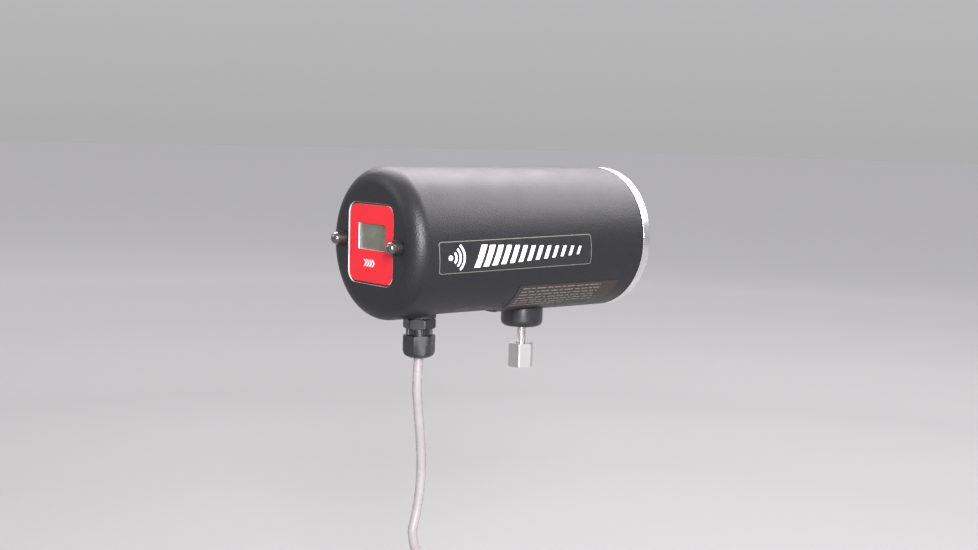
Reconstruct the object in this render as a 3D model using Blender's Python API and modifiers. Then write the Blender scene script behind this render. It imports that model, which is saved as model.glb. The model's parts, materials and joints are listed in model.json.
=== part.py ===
"""A tripod speed radar for sports: a black tube with a display at the back, a horn antenna at the front,
a power lead that leaves through a cable gland below, and a threaded stud with a hexagonal coupling nut.

Metres, +Z up. The origin is the centre of the coupling nut's bottom face, where a tripod holds the radar,
and +X is the direction the radar looks in. Lengths along the body are measured from its rear face and
heights from its axis, and body_point() turns both into places.
"""

import math

import bmesh
import bpy
from mathutils import Vector

# Body
BODY_RADIUS = 0.0490
BODY_LENGTH = 0.2004
BODY_AXIS_Z = 0.0888
REAR_X = -0.1266
WALL = 0.0030
REAR_FILLET = 0.0120
GAP = 0.0003
ROUND_STEPS = 48
FILLET_STEPS = 5
DOME_STEPS = 3

# Front ring, lens and horn
RING_LENGTH = 0.0067
RING_LIP_RADIUS = 0.0415
SPIGOT_LENGTH = 0.0085
LENS_RADIUS = 0.0432
HORN_APERTURE_RADIUS = 0.0400
HORN_THROAT_RADIUS = 0.0090
HORN_LENGTH = 0.0560
HORN_WALL = 0.0018

# Rear panel, display and buttons
PANEL_WIDTH = 0.0480
PANEL_HEIGHT = 0.0491
PANEL_THICKNESS = 0.0010
PANEL_CORNER = 0.0065
PANEL_REAR = 0.0005
POCKET_DEPTH = 0.0018
POCKET_MARGIN = 0.0012
WINDOW_WIDTH = 0.0306
WINDOW_HEIGHT = 0.0166
WINDOW_Y = -0.0010
WINDOW_Z = 0.0044
BUTTON_Y = 0.0310
LEFT_BUTTON_Z = 0.0014
RIGHT_BUTTON_Z = -0.0002
BUTTON_RADIUS = 0.0041
BUTTON_REACH = 0.0090
BUTTON_TRAVEL = 0.0015
BUSHING_RADIUS = 0.0049

# Underside cover and cable gland
COVER_X = 0.0625
COVER_HALF_LENGTH = 0.0350
COVER_HALF_WIDTH = 0.0278
COVER_DEPTH = 0.0016
COVER_THICKNESS = 0.0034
GLAND_X = 0.0394
GLAND_FLATS = 0.0190
GLAND_BODY_TURN = math.radians(46)
GLAND_NUT_TURN = math.radians(4)
GLAND_THREAD_RADIUS = 0.0076
CABLE_RADIUS = 0.0031

# Tripod mount
MOUNT_X = -REAR_X
BOSS_RADIUS = 0.0145
BOSS_BOTTOM_Z = 0.0283
STUD_RADIUS = 0.0030
STUD_BOTTOM_Z = 0.0070
NUT_HEIGHT = 0.0164
NUT_FLATS = 0.015875
NUT_BORE_RADIUS = 0.0035
NUT_TURN = math.radians(12)

# Cable store below the body
COIL_X = -0.0640
COIL_Z = -0.1680
COIL_RADIUS = 0.0320
TURN_SPACING = 0.0063
COIL_HALF_SECTION = TURN_SPACING + CABLE_RADIUS
OUTER_TURN_RADIUS = COIL_RADIUS + TURN_SPACING
LEAD_BEND_RADIUS = 0.0255
LEAD_X = COIL_X - LEAD_BEND_RADIUS
PLUG_Y = 0.0212
PLUG_DROP = 0.0030

TURNED_ABOUT_X = (0, math.pi / 2, 0)
TURNED_ABOUT_Y = (-math.pi / 2, 0, 0)
TURNED_ABOUT_Z = (0, 0, 0)


def body_point(along, across, above_axis):
    return Vector((REAR_X + along, across, BODY_AXIS_Z + above_axis))


# ---------------------------------------------------------------- scene, materials and shapes


def clear_scene():
    for obj in list(bpy.data.objects):
        bpy.data.objects.remove(obj, do_unlink=True)


def new_collection(name):
    collection = bpy.data.collections.new(name)
    bpy.context.scene.collection.children.link(collection)
    return collection


def new_material(name, colour, roughness, metallic=0.0):
    material = bpy.data.materials.new(name)
    material.use_nodes = True
    shader = material.node_tree.nodes["Principled BSDF"]
    shader.inputs["Base Color"].default_value = (*colour, 1)
    shader.inputs["Roughness"].default_value = roughness
    shader.inputs["Metallic"].default_value = metallic
    return material


clear_scene()
RADAR = new_collection("speed_radar")
CUTTERS = new_collection("cutters")
BLACK_CASE = new_material("black_textured_plastic", (0.022, 0.022, 0.024), 0.5)
BLACK_SMOOTH = new_material("black_smooth_plastic", (0.018, 0.018, 0.020), 0.28)
BLACK_GLOSS = new_material("black_gloss_plastic", (0.010, 0.010, 0.012), 0.1)
GREY_COVER = new_material("grey_plastic", (0.06, 0.06, 0.065), 0.35)
RED_PANEL = new_material("red_panel_plastic", (0.80, 0.035, 0.045), 0.4)
CLEAR = new_material("clear_window", (0.8, 0.85, 0.8), 0.05)
LCD_GREY = new_material("lcd_glass", (0.14, 0.16, 0.12), 0.15)
ALUMINIUM = new_material("polished_aluminium", (0.80, 0.80, 0.79), 0.22, 1.0)
STEEL = new_material("zinc_plated_steel", (0.66, 0.66, 0.64), 0.3, 1.0)
BRASS = new_material("brass", (0.72, 0.52, 0.22), 0.3, 1.0)
RUBBER = new_material("black_rubber", (0.02, 0.02, 0.02), 0.7)
CABLE_GREY = new_material("grey_cable_jacket", (0.60, 0.57, 0.55), 0.35)
BOARD_GREEN = new_material("green_circuit_board", (0.02, 0.14, 0.05), 0.45)
LABEL_BLACK = new_material("black_label", (0.012, 0.012, 0.013), 0.25)
LABEL_BROWN = new_material("dark_brown_label", (0.055, 0.045, 0.042), 0.45)
WIRE_RED = new_material("red_wire", (0.55, 0.02, 0.02), 0.4)
DARK_RADOME = new_material("dark_radome_plastic", (0.03, 0.03, 0.032), 0.35)

SWIVEL = bpy.data.objects.new("swivel_axis", None)
RADAR.objects.link(SWIVEL)


def place(obj, location, rotation, material, cutter=False):
    """Puts a new object in its collection, at its place. Radar pieces turn with the swivel axis."""
    obj.location = location
    obj.rotation_euler = rotation
    if cutter:
        CUTTERS.objects.link(obj)
        obj.hide_render = True
        obj.display_type = "WIRE"
        return obj
    RADAR.objects.link(obj)
    obj.data.materials.append(material)
    obj.parent = SWIVEL
    return obj


def finish_mesh(name, bm, sharp_degrees=35):
    bmesh.ops.recalc_face_normals(bm, faces=bm.faces)
    mesh = bpy.data.meshes.new(name)
    bm.to_mesh(mesh)
    bm.free()
    mesh.shade_smooth()
    mesh.set_sharp_from_angle(angle=math.radians(sharp_degrees))
    return mesh


def turned(name, profile, location, rotation, material=None, steps=32, ring=False):
    """A turned solid. The profile's points are (radius, place along the local Z axis). A ring's profile
    is a closed loop, and any other profile starts and ends on the axis."""
    area = sum(
        a[0] * b[1] - b[0] * a[1] for a, b in zip(profile, profile[1:] + profile[:1])
    )
    points = profile if area < 0 else profile[::-1]
    bm = bmesh.new()
    verts = [bm.verts.new((radius, 0, along)) for radius, along in points]
    for start, end in zip(verts, verts[1:]):
        bm.edges.new((start, end))
    if ring:
        bm.edges.new((verts[-1], verts[0]))
    mesh = bpy.data.meshes.new(name)
    bm.to_mesh(mesh)
    bm.free()
    obj = bpy.data.objects.new(name, mesh)
    place(obj, location, rotation, material, cutter=material is None)
    screw = obj.modifiers.new("turn", "SCREW")
    screw.axis = "Z"
    screw.angle = 2 * math.pi
    screw.steps = screw.render_steps = steps
    screw.use_merge_vertices = not ring
    screw.merge_threshold = 1e-5
    screw.use_smooth_shade = True
    return obj


def disc(name, radius, start, end, location, rotation, material=None, steps=32):
    profile = [(0, start), (radius, start), (radius, end), (0, end)]
    return turned(name, profile, location, rotation, material, steps)


def washer(name, inner, outer, start, end, location, rotation, material, steps=32):
    profile = [(inner, start), (outer, start), (outer, end), (inner, end)]
    return turned(name, profile, location, rotation, material, steps, ring=True)


def block(name, size, location, material=None, rotation=TURNED_ABOUT_Z, edge=0.0):
    """A box of this size, centred on its place, with its edges taken off by a bevel."""
    bm = bmesh.new()
    bmesh.ops.create_cube(bm, size=1)
    bmesh.ops.scale(bm, vec=size, verts=bm.verts)
    obj = bpy.data.objects.new(name, finish_mesh(name, bm))
    place(obj, location, rotation, material, cutter=material is None)
    if edge:
        bevel = obj.modifiers.new("edges", "BEVEL")
        bevel.width = edge
        bevel.segments = 1
    return obj


def hexagon(name, flats, start, end, location, material=None, turn=0.0):
    """A hexagonal prism about Z. At no turn, one flat faces +X."""
    bm = bmesh.new()
    corner = flats / math.sqrt(3)
    bmesh.ops.create_cone(
        bm, cap_ends=True, segments=6, radius1=corner, radius2=corner, depth=end - start
    )
    bmesh.ops.translate(bm, vec=(0, 0, (start + end) / 2), verts=bm.verts)
    obj = bpy.data.objects.new(name, finish_mesh(name, bm))
    return place(obj, location, (0, 0, turn), material, cutter=material is None)


def oval_cutter(name, half_length, half_width, bottom, top, location):
    bm = bmesh.new()
    bmesh.ops.create_cone(
        bm, cap_ends=True, segments=48, radius1=1, radius2=1, depth=top - bottom
    )
    bmesh.ops.scale(bm, vec=(half_length, half_width, 1), verts=bm.verts)
    bmesh.ops.translate(bm, vec=(0, 0, (bottom + top) / 2), verts=bm.verts)
    obj = bpy.data.objects.new(name, finish_mesh(name, bm))
    return place(obj, location, TURNED_ABOUT_Z, None, cutter=True)


def rounded_slab(name, width, height, corner, thickness, location, material=None):
    """A plate with round corners in the plane across the body, centred on its place."""
    curve = bpy.data.curves.new(name, "CURVE")
    curve.dimensions = "2D"
    curve.fill_mode = "BOTH"
    curve.extrude = thickness / 2
    outline = []
    for quarter, (side, up) in enumerate(((1, 1), (-1, 1), (-1, -1), (1, -1))):
        for step in range(7):
            angle = math.radians(quarter * 90 + step * 15)
            outline.append(
                (
                    side * (height / 2 - corner) + corner * math.cos(angle),
                    up * (width / 2 - corner) + corner * math.sin(angle),
                )
            )
    spline = curve.splines.new("POLY")
    spline.points.add(len(outline) - 1)
    for point, (x, y) in zip(spline.points, outline):
        point.co = (x, y, 0, 1)
    spline.use_cyclic_u = True
    flat = bpy.data.objects.new(name + "_outline", curve)
    mesh = mesh_of_curve(name, flat)
    obj = bpy.data.objects.new(name, mesh)
    return place(obj, location, TURNED_ABOUT_X, material, cutter=material is None)


def mesh_of_curve(name, curve_object):
    """The curve's evaluated mesh with its caps welded on. The curve itself is removed."""
    bpy.context.scene.collection.objects.link(curve_object)
    graph = bpy.context.evaluated_depsgraph_get()
    mesh = bpy.data.meshes.new_from_object(curve_object.evaluated_get(graph))
    bpy.data.objects.remove(curve_object, do_unlink=True)
    bm = bmesh.new()
    bm.from_mesh(mesh)
    bmesh.ops.remove_doubles(bm, verts=bm.verts, dist=1e-6)
    bpy.data.meshes.remove(mesh)
    return finish_mesh(name, bm)


def tube(name, points, radius, material, resolution=2):
    """A round wire or cable along these points, as a mesh so that it can be cut."""
    curve = bpy.data.curves.new(name, "CURVE")
    curve.dimensions = "3D"
    curve.bevel_depth = radius
    curve.bevel_resolution = resolution
    curve.use_fill_caps = True
    spline = curve.splines.new("POLY")
    spline.points.add(len(points) - 1)
    for point, place_of_point in zip(spline.points, points):
        point.co = (*place_of_point, 1)
    mesh = mesh_of_curve(name, bpy.data.objects.new(name + "_route", curve))
    obj = bpy.data.objects.new(name, mesh)
    return place(obj, (0, 0, 0), TURNED_ABOUT_Z, material)


def sheet(name, columns, rows, surface, thickness, material):
    """A thin bent sheet: surface(u, v) gives its middle layer for u and v from 0 to 1."""
    bm = bmesh.new()
    bmesh.ops.create_grid(bm, x_segments=columns, y_segments=rows, size=0.5)
    for vert in bm.verts:
        vert.co = surface(vert.co.x + 0.5, vert.co.y + 0.5)
    obj = bpy.data.objects.new(name, finish_mesh(name, bm))
    place(obj, (0, 0, 0), TURNED_ABOUT_Z, material)
    solid = obj.modifiers.new("thickness", "SOLIDIFY")
    solid.thickness = thickness
    solid.offset = 0
    return obj


def combine(obj, other, operation):
    """operation is DIFFERENCE, INTERSECT or UNION."""
    modifier = obj.modifiers.new(other.name, "BOOLEAN")
    modifier.operation = operation
    modifier.object = other
    return obj


def arc(centre, radius, start, end, steps):
    """Points of a round stretch of a profile, its angles in degrees."""
    angles = (
        math.radians(start + (end - start) * step / steps) for step in range(steps + 1)
    )
    return [(centre[0] + radius * math.cos(a), centre[1] + radius * math.sin(a)) for a in angles]


def smooth_route(points, spacing):
    """Places about this far apart on a Catmull-Rom curve through the points."""
    ends = [2 * points[0] - points[1], *points, 2 * points[-1] - points[-2]]
    route = []
    for before, start, end, after in zip(ends, ends[1:], ends[2:], ends[3:]):
        count = max(1, round((end - start).length / spacing))
        for step in range(count):
            t = step / count
            route.append(
                0.5
                * (
                    2 * start
                    + (end - before) * t
                    + (2 * before - 5 * start + 4 * end - after) * t**2
                    + (3 * start - before - 3 * end + after) * t**3
                )
            )
    return [*route, points[-1]]


# ---------------------------------------------------------------- housing


def make_housing():
    """A tube with a rounded, closed back, which has a shallow pocket for the red panel. Its openings are
    for the display, the two buttons, the stud, and the oval cover below."""
    shell_front = BODY_LENGTH - RING_LENGTH - GAP
    flat_radius = BODY_RADIUS - REAR_FILLET
    inner_radius = BODY_RADIUS - WALL
    outer = [(0, 0)]
    outer += arc((flat_radius, REAR_FILLET), REAR_FILLET, -90, 0, FILLET_STEPS)
    outer += [(BODY_RADIUS, shell_front)]
    inner = [(0, WALL)]
    inner += arc((flat_radius, REAR_FILLET), REAR_FILLET - WALL, -90, 0, FILLET_STEPS)
    inner += [(inner_radius, shell_front)]
    shell = turned(
        "housing_shell",
        outer + inner[::-1],
        body_point(0, 0, 0),
        TURNED_ABOUT_X,
        BLACK_CASE,
        ROUND_STEPS,
    )
    window = block(
        "window_cutter",
        (4 * WALL, WINDOW_WIDTH + 0.003, WINDOW_HEIGHT + 0.003),
        body_point(WALL / 2, WINDOW_Y, WINDOW_Z),
    )
    combine(shell, window, "DIFFERENCE")
    pocket = rounded_slab(
        "panel_pocket_cutter",
        PANEL_WIDTH + 2 * POCKET_MARGIN,
        PANEL_HEIGHT + 2 * POCKET_MARGIN,
        PANEL_CORNER + POCKET_MARGIN,
        2 * POCKET_DEPTH,
        body_point(0, 0, 0),
    )
    combine(shell, pocket, "DIFFERENCE")
    for side, height in ((1, LEFT_BUTTON_Z), (-1, RIGHT_BUTTON_Z)):
        hole = disc(
            f"button_hole_cutter_{side}",
            0.0040,
            -2 * WALL,
            2 * WALL,
            body_point(WALL / 2, side * BUTTON_Y, height),
            TURNED_ABOUT_X,
            steps=24,
        )
        combine(shell, hole, "DIFFERENCE")
    oval = oval_cutter(
        "cover_opening_cutter",
        COVER_HALF_LENGTH,
        COVER_HALF_WIDTH,
        -0.060,
        -0.020,
        body_point(COVER_X, 0, 0),
    )
    combine(shell, oval, "DIFFERENCE")
    stud_hole = disc(
        "stud_hole_cutter",
        STUD_RADIUS + GAP,
        -0.060,
        -0.035,
        body_point(MOUNT_X, 0, 0),
        TURNED_ABOUT_Z,
        steps=24,
    )
    combine(shell, stud_hole, "DIFFERENCE")


def make_underside_cover():
    """A curved plate let into the oval opening, with a flange behind the opening's edge. The gland
    stands in it."""
    outside = BODY_RADIUS - COVER_DEPTH
    inside = outside - COVER_THICKNESS
    flange_outside = BODY_RADIUS - WALL - GAP
    start = COVER_X - COVER_HALF_LENGTH - 0.006
    end = COVER_X + COVER_HALF_LENGTH + 0.006
    axis_start = body_point(0, 0, 0)
    cover = washer(
        "underside_cover", inside, outside, start, end, axis_start, TURNED_ABOUT_X, GREY_COVER, ROUND_STEPS
    )
    plate_outline = oval_cutter(
        "cover_plate_outline",
        COVER_HALF_LENGTH - GAP,
        COVER_HALF_WIDTH - GAP,
        -0.060,
        -0.020,
        body_point(COVER_X, 0, 0),
    )
    combine(cover, plate_outline, "INTERSECT")
    flange = turned(
        "cover_flange_ring",
        [
            (inside - 0.0001, start),
            (flange_outside, start),
            (flange_outside, end),
            (inside - 0.0001, end),
        ],
        axis_start,
        TURNED_ABOUT_X,
        steps=ROUND_STEPS,
        ring=True,
    )
    flange_outline = oval_cutter(
        "cover_flange_outline",
        COVER_HALF_LENGTH + 0.0035,
        COVER_HALF_WIDTH + 0.0035,
        -0.060,
        -0.020,
        body_point(COVER_X, 0, 0),
    )
    combine(flange, flange_outline, "INTERSECT")
    combine(cover, flange, "UNION")
    gland_hole = disc(
        "gland_hole_cutter",
        GLAND_THREAD_RADIUS + GAP,
        -0.060,
        -0.030,
        body_point(GLAND_X, 0, 0),
        TURNED_ABOUT_Z,
        steps=32,
    )
    combine(cover, gland_hole, "DIFFERENCE")


def make_front():
    """The bright ring, the lens that lets the beam out, its gasket, and the horn behind it."""
    ring_start = BODY_LENGTH - RING_LENGTH
    front = BODY_LENGTH
    inner = LENS_RADIUS + GAP
    spigot_radius = BODY_RADIUS - WALL - GAP
    lip = 0.0016
    chamfer = 0.0008
    at_axis = body_point(0, 0, 0)
    turned(
        "front_ring",
        [
            (inner, ring_start - SPIGOT_LENGTH),
            (spigot_radius, ring_start - SPIGOT_LENGTH),
            (spigot_radius, ring_start),
            (BODY_RADIUS, ring_start),
            (BODY_RADIUS, front - chamfer),
            (BODY_RADIUS - chamfer, front),
            (RING_LIP_RADIUS + chamfer, front),
            (RING_LIP_RADIUS, front - chamfer),
            (RING_LIP_RADIUS, front - lip),
            (inner, front - lip),
        ],
        at_axis,
        TURNED_ABOUT_X,
        ALUMINIUM,
        ROUND_STEPS,
        ring=True,
    )
    lens_front = front - lip - GAP
    lens_back = lens_front - 0.0028
    dome_rise = 0.0012
    dome_radius = RING_LIP_RADIUS - 0.0006
    dome_shares = [1 - step / DOME_STEPS for step in range(DOME_STEPS + 1)]
    dome = [(dome_radius * share, lens_front + dome_rise * (1 - share**2)) for share in dome_shares]
    turned(
        "radome_lens",
        [(0, lens_back), (LENS_RADIUS, lens_back), (LENS_RADIUS, lens_front), *dome],
        at_axis,
        TURNED_ABOUT_X,
        DARK_RADOME,
        36,
    )
    gasket_end = lens_back - GAP
    gasket_start = gasket_end - 0.0015
    washer(
        "radome_gasket", RING_LIP_RADIUS, LENS_RADIUS, gasket_start, gasket_end, at_axis, TURNED_ABOUT_X, RUBBER, 32
    )
    horn_front = gasket_start - GAP
    flange_back = horn_front - 0.0018
    throat = horn_front - HORN_LENGTH
    turned(
        "horn_antenna",
        [
            (HORN_APERTURE_RADIUS, horn_front),
            (LENS_RADIUS, horn_front),
            (LENS_RADIUS, flange_back),
            (HORN_APERTURE_RADIUS + HORN_WALL * 0.7, flange_back),
            (HORN_THROAT_RADIUS + HORN_WALL, throat + 0.004),
            (HORN_THROAT_RADIUS + HORN_WALL, throat),
            (HORN_THROAT_RADIUS, throat),
            (HORN_THROAT_RADIUS, throat + 0.004),
        ],
        at_axis,
        TURNED_ABOUT_X,
        ALUMINIUM,
        32,
        ring=True,
    )
    clamp_front = flange_back - GAP
    washer(
        "horn_retaining_ring",
        HORN_APERTURE_RADIUS + 0.0016,
        LENS_RADIUS,
        clamp_front - 0.0022,
        clamp_front,
        at_axis,
        TURNED_ABOUT_X,
        BLACK_SMOOTH,
        32,
    )
    return throat


def make_transceiver(horn_throat):
    """The microwave source and mixer, in a block on the horn's throat, on the chassis plate."""
    flange_front = horn_throat - GAP
    flange_back = flange_front - 0.003
    washer(
        "waveguide_flange",
        HORN_THROAT_RADIUS,
        0.016,
        flange_back,
        flange_front,
        body_point(0, 0, 0),
        TURNED_ABOUT_X,
        BRASS,
    )
    length = 0.030
    side = 0.036
    centre = flange_back - GAP - length / 2
    source = block(
        "microwave_transceiver",
        (length, side, side),
        body_point(centre, 0, 0),
        ALUMINIUM,
        edge=0.001,
    )
    waveguide = block(
        "waveguide_cutter", (0.030, 0.0107, 0.0043), body_point(centre + length / 2, 0, 0)
    )
    combine(source, waveguide, "DIFFERENCE")
    disc(
        "tuning_screw",
        0.0025,
        side / 2 + GAP,
        side / 2 + 0.006,
        body_point(centre, 0, 0),
        TURNED_ABOUT_Z,
        BRASS,
        16,
    )
    plate_start = 0.050
    plate_end = centre + length / 2
    plate_top = -side / 2 - GAP
    plate_thickness = 0.0015
    block(
        "chassis_plate",
        (plate_end - plate_start, 0.062, plate_thickness),
        body_point((plate_start + plate_end) / 2, 0, plate_top - plate_thickness / 2),
        ALUMINIUM,
    )
    return plate_top, centre - length / 2


def make_electronics(plate_top, transceiver_back):
    """The main board on four spacers, with its parts, and the wires that join the boards."""
    board_start, board_end = 0.051, transceiver_back - 0.002
    board_width = 0.066
    board_thickness = 0.0016
    spacer_height = 0.006
    board_bottom = plate_top + spacer_height + 2 * GAP
    board_top = board_bottom + board_thickness
    board_middle = (board_start + board_end) / 2
    block(
        "main_circuit_board",
        (board_end - board_start, board_width, board_thickness),
        body_point(board_middle, 0, board_bottom + board_thickness / 2),
        BOARD_GREEN,
    )
    for end, along in (("rear", board_start + 0.005), ("front", board_end - 0.005)):
        for side, across in (("left", 0.026), ("right", -0.026)):
            disc(
                f"board_spacer_{end}_{side}",
                0.003,
                plate_top + GAP,
                plate_top + GAP + spacer_height,
                body_point(along, across, 0),
                TURNED_ABOUT_Z,
                BRASS,
                12,
            )
    parts_bottom = board_top + GAP
    block(
        "processor_chip",
        (0.014, 0.014, 0.002),
        body_point(board_middle + 0.006, 0.012, parts_bottom + 0.001),
        BLACK_SMOOTH,
    )
    block(
        "voltage_regulator",
        (0.010, 0.016, 0.015),
        body_point(board_start + 0.014, -0.024, parts_bottom + 0.0075),
        ALUMINIUM,
        edge=0.0006,
    )
    disc(
        "storage_capacitor",
        0.006,
        parts_bottom,
        parts_bottom + 0.014,
        body_point(board_middle + 0.004, -0.016, 0),
        TURNED_ABOUT_Z,
        BLACK_GLOSS,
        24,
    )
    terminal_height = 0.009
    block(
        "power_terminal_block",
        (0.008, 0.014, terminal_height),
        body_point(board_start + 0.006, 0, parts_bottom + terminal_height / 2),
        GREY_COVER,
        edge=0.0005,
    )
    terminal_back = board_start + 0.002 - GAP
    entry_height = parts_bottom + terminal_height / 2
    for side, name, material in ((1, "power_wire_positive", WIRE_RED), (-1, "power_wire_negative", BLACK_SMOOTH)):
        across = side * 0.0018
        route = [
            body_point(GLAND_X, across, -0.0350),
            body_point(GLAND_X - 0.001, across * 1.2, -0.0270),
            body_point(GLAND_X - 0.002, across * 1.6, -0.0160),
            body_point(GLAND_X, across * 1.9, entry_height - 0.004),
            body_point(GLAND_X + 0.005, across * 2, entry_height),
            body_point(terminal_back, across * 2, entry_height),
        ]
        tube(name, smooth_route(route, 0.004), 0.0011, material)


def make_display():
    """The display at the back: the red panel in its pocket, the clear window behind it, and the display
    module on its board inside."""
    panel_middle = PANEL_REAR + PANEL_THICKNESS / 2
    panel = rounded_slab(
        "display_bezel",
        PANEL_WIDTH,
        PANEL_HEIGHT,
        PANEL_CORNER,
        PANEL_THICKNESS,
        body_point(panel_middle, 0, 0),
        RED_PANEL,
    )
    opening = block(
        "bezel_opening_cutter",
        (4 * PANEL_THICKNESS, WINDOW_WIDTH, WINDOW_HEIGHT),
        body_point(panel_middle, WINDOW_Y, WINDOW_Z),
    )
    combine(panel, opening, "DIFFERENCE")
    window_thickness = 0.0012
    block(
        "display_window",
        (window_thickness, WINDOW_WIDTH + 0.0022, WINDOW_HEIGHT + 0.0022),
        body_point(POCKET_DEPTH + window_thickness / 2, WINDOW_Y, WINDOW_Z),
        CLEAR,
    )
    module_start = WALL + GAP
    module_thickness = 0.005
    block(
        "lcd_module",
        (module_thickness, 0.036, 0.026),
        body_point(module_start + module_thickness / 2, WINDOW_Y, WINDOW_Z),
        LCD_GREY,
        edge=0.0005,
    )
    board_thickness = 0.0016
    board_start = 0.0108
    block(
        "display_circuit_board",
        (board_thickness, 0.066, 0.046),
        body_point(board_start + board_thickness / 2, 0, 0),
        BOARD_GREEN,
    )
    ribbon_path = smooth_route(
        [
            body_point(board_start + board_thickness + GAP, 0, 0.004),
            body_point(0.020, 0, 0.006),
            body_point(0.034, 0, 0.003),
            body_point(0.050, 0, -0.001),
            body_point(0.066, 0, -0.0040),
        ],
        0.006,
    )
    last = len(ribbon_path) - 1
    sheet(
        "display_ribbon_cable",
        last,
        2,
        lambda u, v: ribbon_path[round(u * last)] + Vector((0, 0.018 + 0.014 * v, 0)),
        0.0006,
        CABLE_GREY,
    )


def make_button(side, height, name):
    """A domed cap that slides in a bushing through the rear wall, and the switch behind the wall."""
    on_axis = body_point(0, side * BUTTON_Y, height)
    rim = -0.0034
    pocket_floor = -0.0010
    neck_end = WALL + 0.0028
    turned(
        f"{name}_button_bushing",
        [
            (BUTTON_RADIUS + 0.0004, rim),
            (BUSHING_RADIUS, rim),
            (BUSHING_RADIUS, -GAP),
            (0.0037, -GAP),
            (0.0037, neck_end),
            (0.0025, neck_end),
            (0.0025, pocket_floor),
            (BUTTON_RADIUS + 0.0004, pocket_floor),
        ],
        on_axis,
        TURNED_ABOUT_X,
        BLACK_SMOOTH,
        20,
        ring=True,
    )
    skirt_end = pocket_floor - GAP - BUTTON_TRAVEL
    stem_end = WALL + 0.0030
    dome = arc((0, BUTTON_RADIUS - BUTTON_REACH), BUTTON_RADIUS, -90, 0, 4)[1:]
    turned(
        f"{name}_button_cap",
        [
            (0, -BUTTON_REACH),
            *dome,
            (BUTTON_RADIUS, skirt_end),
            (0.0021, skirt_end),
            (0.0021, stem_end),
            (0, stem_end),
        ],
        on_axis,
        TURNED_ABOUT_X,
        BLACK_GLOSS,
        20,
    )
    switch_front = stem_end + BUTTON_TRAVEL + GAP
    switch_length = 0.0108 - GAP - switch_front
    block(
        f"{name}_switch_body",
        (switch_length, 0.010, 0.010),
        on_axis + Vector((switch_front + switch_length / 2, 0, 0)),
        BLACK_SMOOTH,
    )


# ---------------------------------------------------------------- cable gland and power lead

COLLAR_TOP = -0.0561
COLLAR_BOTTOM = -0.0602
GLAND_MOUTH = -0.0754
GLAND_TOP = -0.0362


def make_gland():
    """A hexagonal gland through the cover: saddle washer, body with thread, seal, compression nut and,
    inside, the locknut."""
    at_gland = body_point(GLAND_X, 0, 0)
    cover_outside = BODY_RADIUS - COVER_DEPTH
    washer_bottom = -cover_outside - 0.0018
    saddle = washer(
        "gland_saddle_washer",
        GLAND_THREAD_RADIUS + GAP,
        0.0108,
        washer_bottom,
        -0.044,
        at_gland,
        TURNED_ABOUT_Z,
        RUBBER,
    )
    cover_surface = disc(
        "cover_surface_cutter",
        cover_outside + GAP,
        0,
        0.110,
        body_point(0, 0, 0),
        TURNED_ABOUT_X,
        steps=ROUND_STEPS,
    )
    combine(saddle, cover_surface, "DIFFERENCE")
    bore = CABLE_RADIUS + 0.0006
    corner = GLAND_FLATS / math.sqrt(3)
    thread = GLAND_THREAD_RADIUS
    hex_top = washer_bottom - GAP
    seal_top = -0.0715
    body = turned(
        "gland_body",
        [
            (bore, GLAND_TOP),
            (thread, GLAND_TOP),
            (thread, hex_top),
            (corner - 0.0008, hex_top),
            (corner, hex_top - 0.0008),
            (corner, COLLAR_TOP),
            (0.0084, COLLAR_TOP),
            (0.0084, COLLAR_BOTTOM),
            (thread - 0.0002, COLLAR_BOTTOM),
            (thread - 0.0002, seal_top + GAP),
            (bore, seal_top + GAP),
        ],
        at_gland,
        TURNED_ABOUT_Z,
        BLACK_SMOOTH,
        24,
        ring=True,
    )
    body_hex = hexagon(
        "gland_body_hexagon", GLAND_FLATS, -0.08, -0.02, at_gland, turn=GLAND_BODY_TURN
    )
    combine(body, body_hex, "INTERSECT")
    seal_bottom = -0.0739
    washer(
        "gland_seal", CABLE_RADIUS + GAP, thread - 0.0003, seal_bottom, seal_top, at_gland, TURNED_ABOUT_Z, RUBBER, 24
    )
    pocket = thread + 0.0002
    nut_top = COLLAR_BOTTOM - GAP
    nut = turned(
        "gland_compression_nut",
        [
            (pocket, nut_top),
            (corner - 0.0006, nut_top),
            (corner, nut_top - 0.0006),
            (corner, -0.0706),
            (corner - 0.0010, -0.0731),
            (corner - 0.0026, -0.0747),
            (corner - 0.0045, GLAND_MOUTH),
            (bore, GLAND_MOUTH),
            (bore, seal_bottom - GAP),
            (pocket, seal_bottom - GAP),
        ],
        at_gland,
        TURNED_ABOUT_Z,
        BLACK_SMOOTH,
        24,
        ring=True,
    )
    nut_hex = hexagon(
        "gland_nut_hexagon", GLAND_FLATS, -0.09, -0.04, at_gland, turn=GLAND_NUT_TURN
    )
    combine(nut, nut_hex, "INTERSECT")
    locknut_bottom = -0.0437
    locknut = hexagon(
        "gland_locknut",
        GLAND_FLATS + 0.002,
        locknut_bottom,
        locknut_bottom + 0.005,
        at_gland,
        STEEL,
    )
    locknut_bore = disc(
        "gland_locknut_cutter", thread + GAP, -0.06, -0.03, at_gland, TURNED_ABOUT_Z, steps=24
    )
    combine(locknut, locknut_bore, "DIFFERENCE")
    cover_inside = disc(
        "cover_inside_cutter",
        cover_outside - COVER_THICKNESS - 0.0001 - GAP,
        0,
        0.110,
        body_point(0, 0, 0),
        TURNED_ABOUT_X,
        steps=ROUND_STEPS,
    )
    combine(locknut, cover_inside, "INTERSECT")


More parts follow.
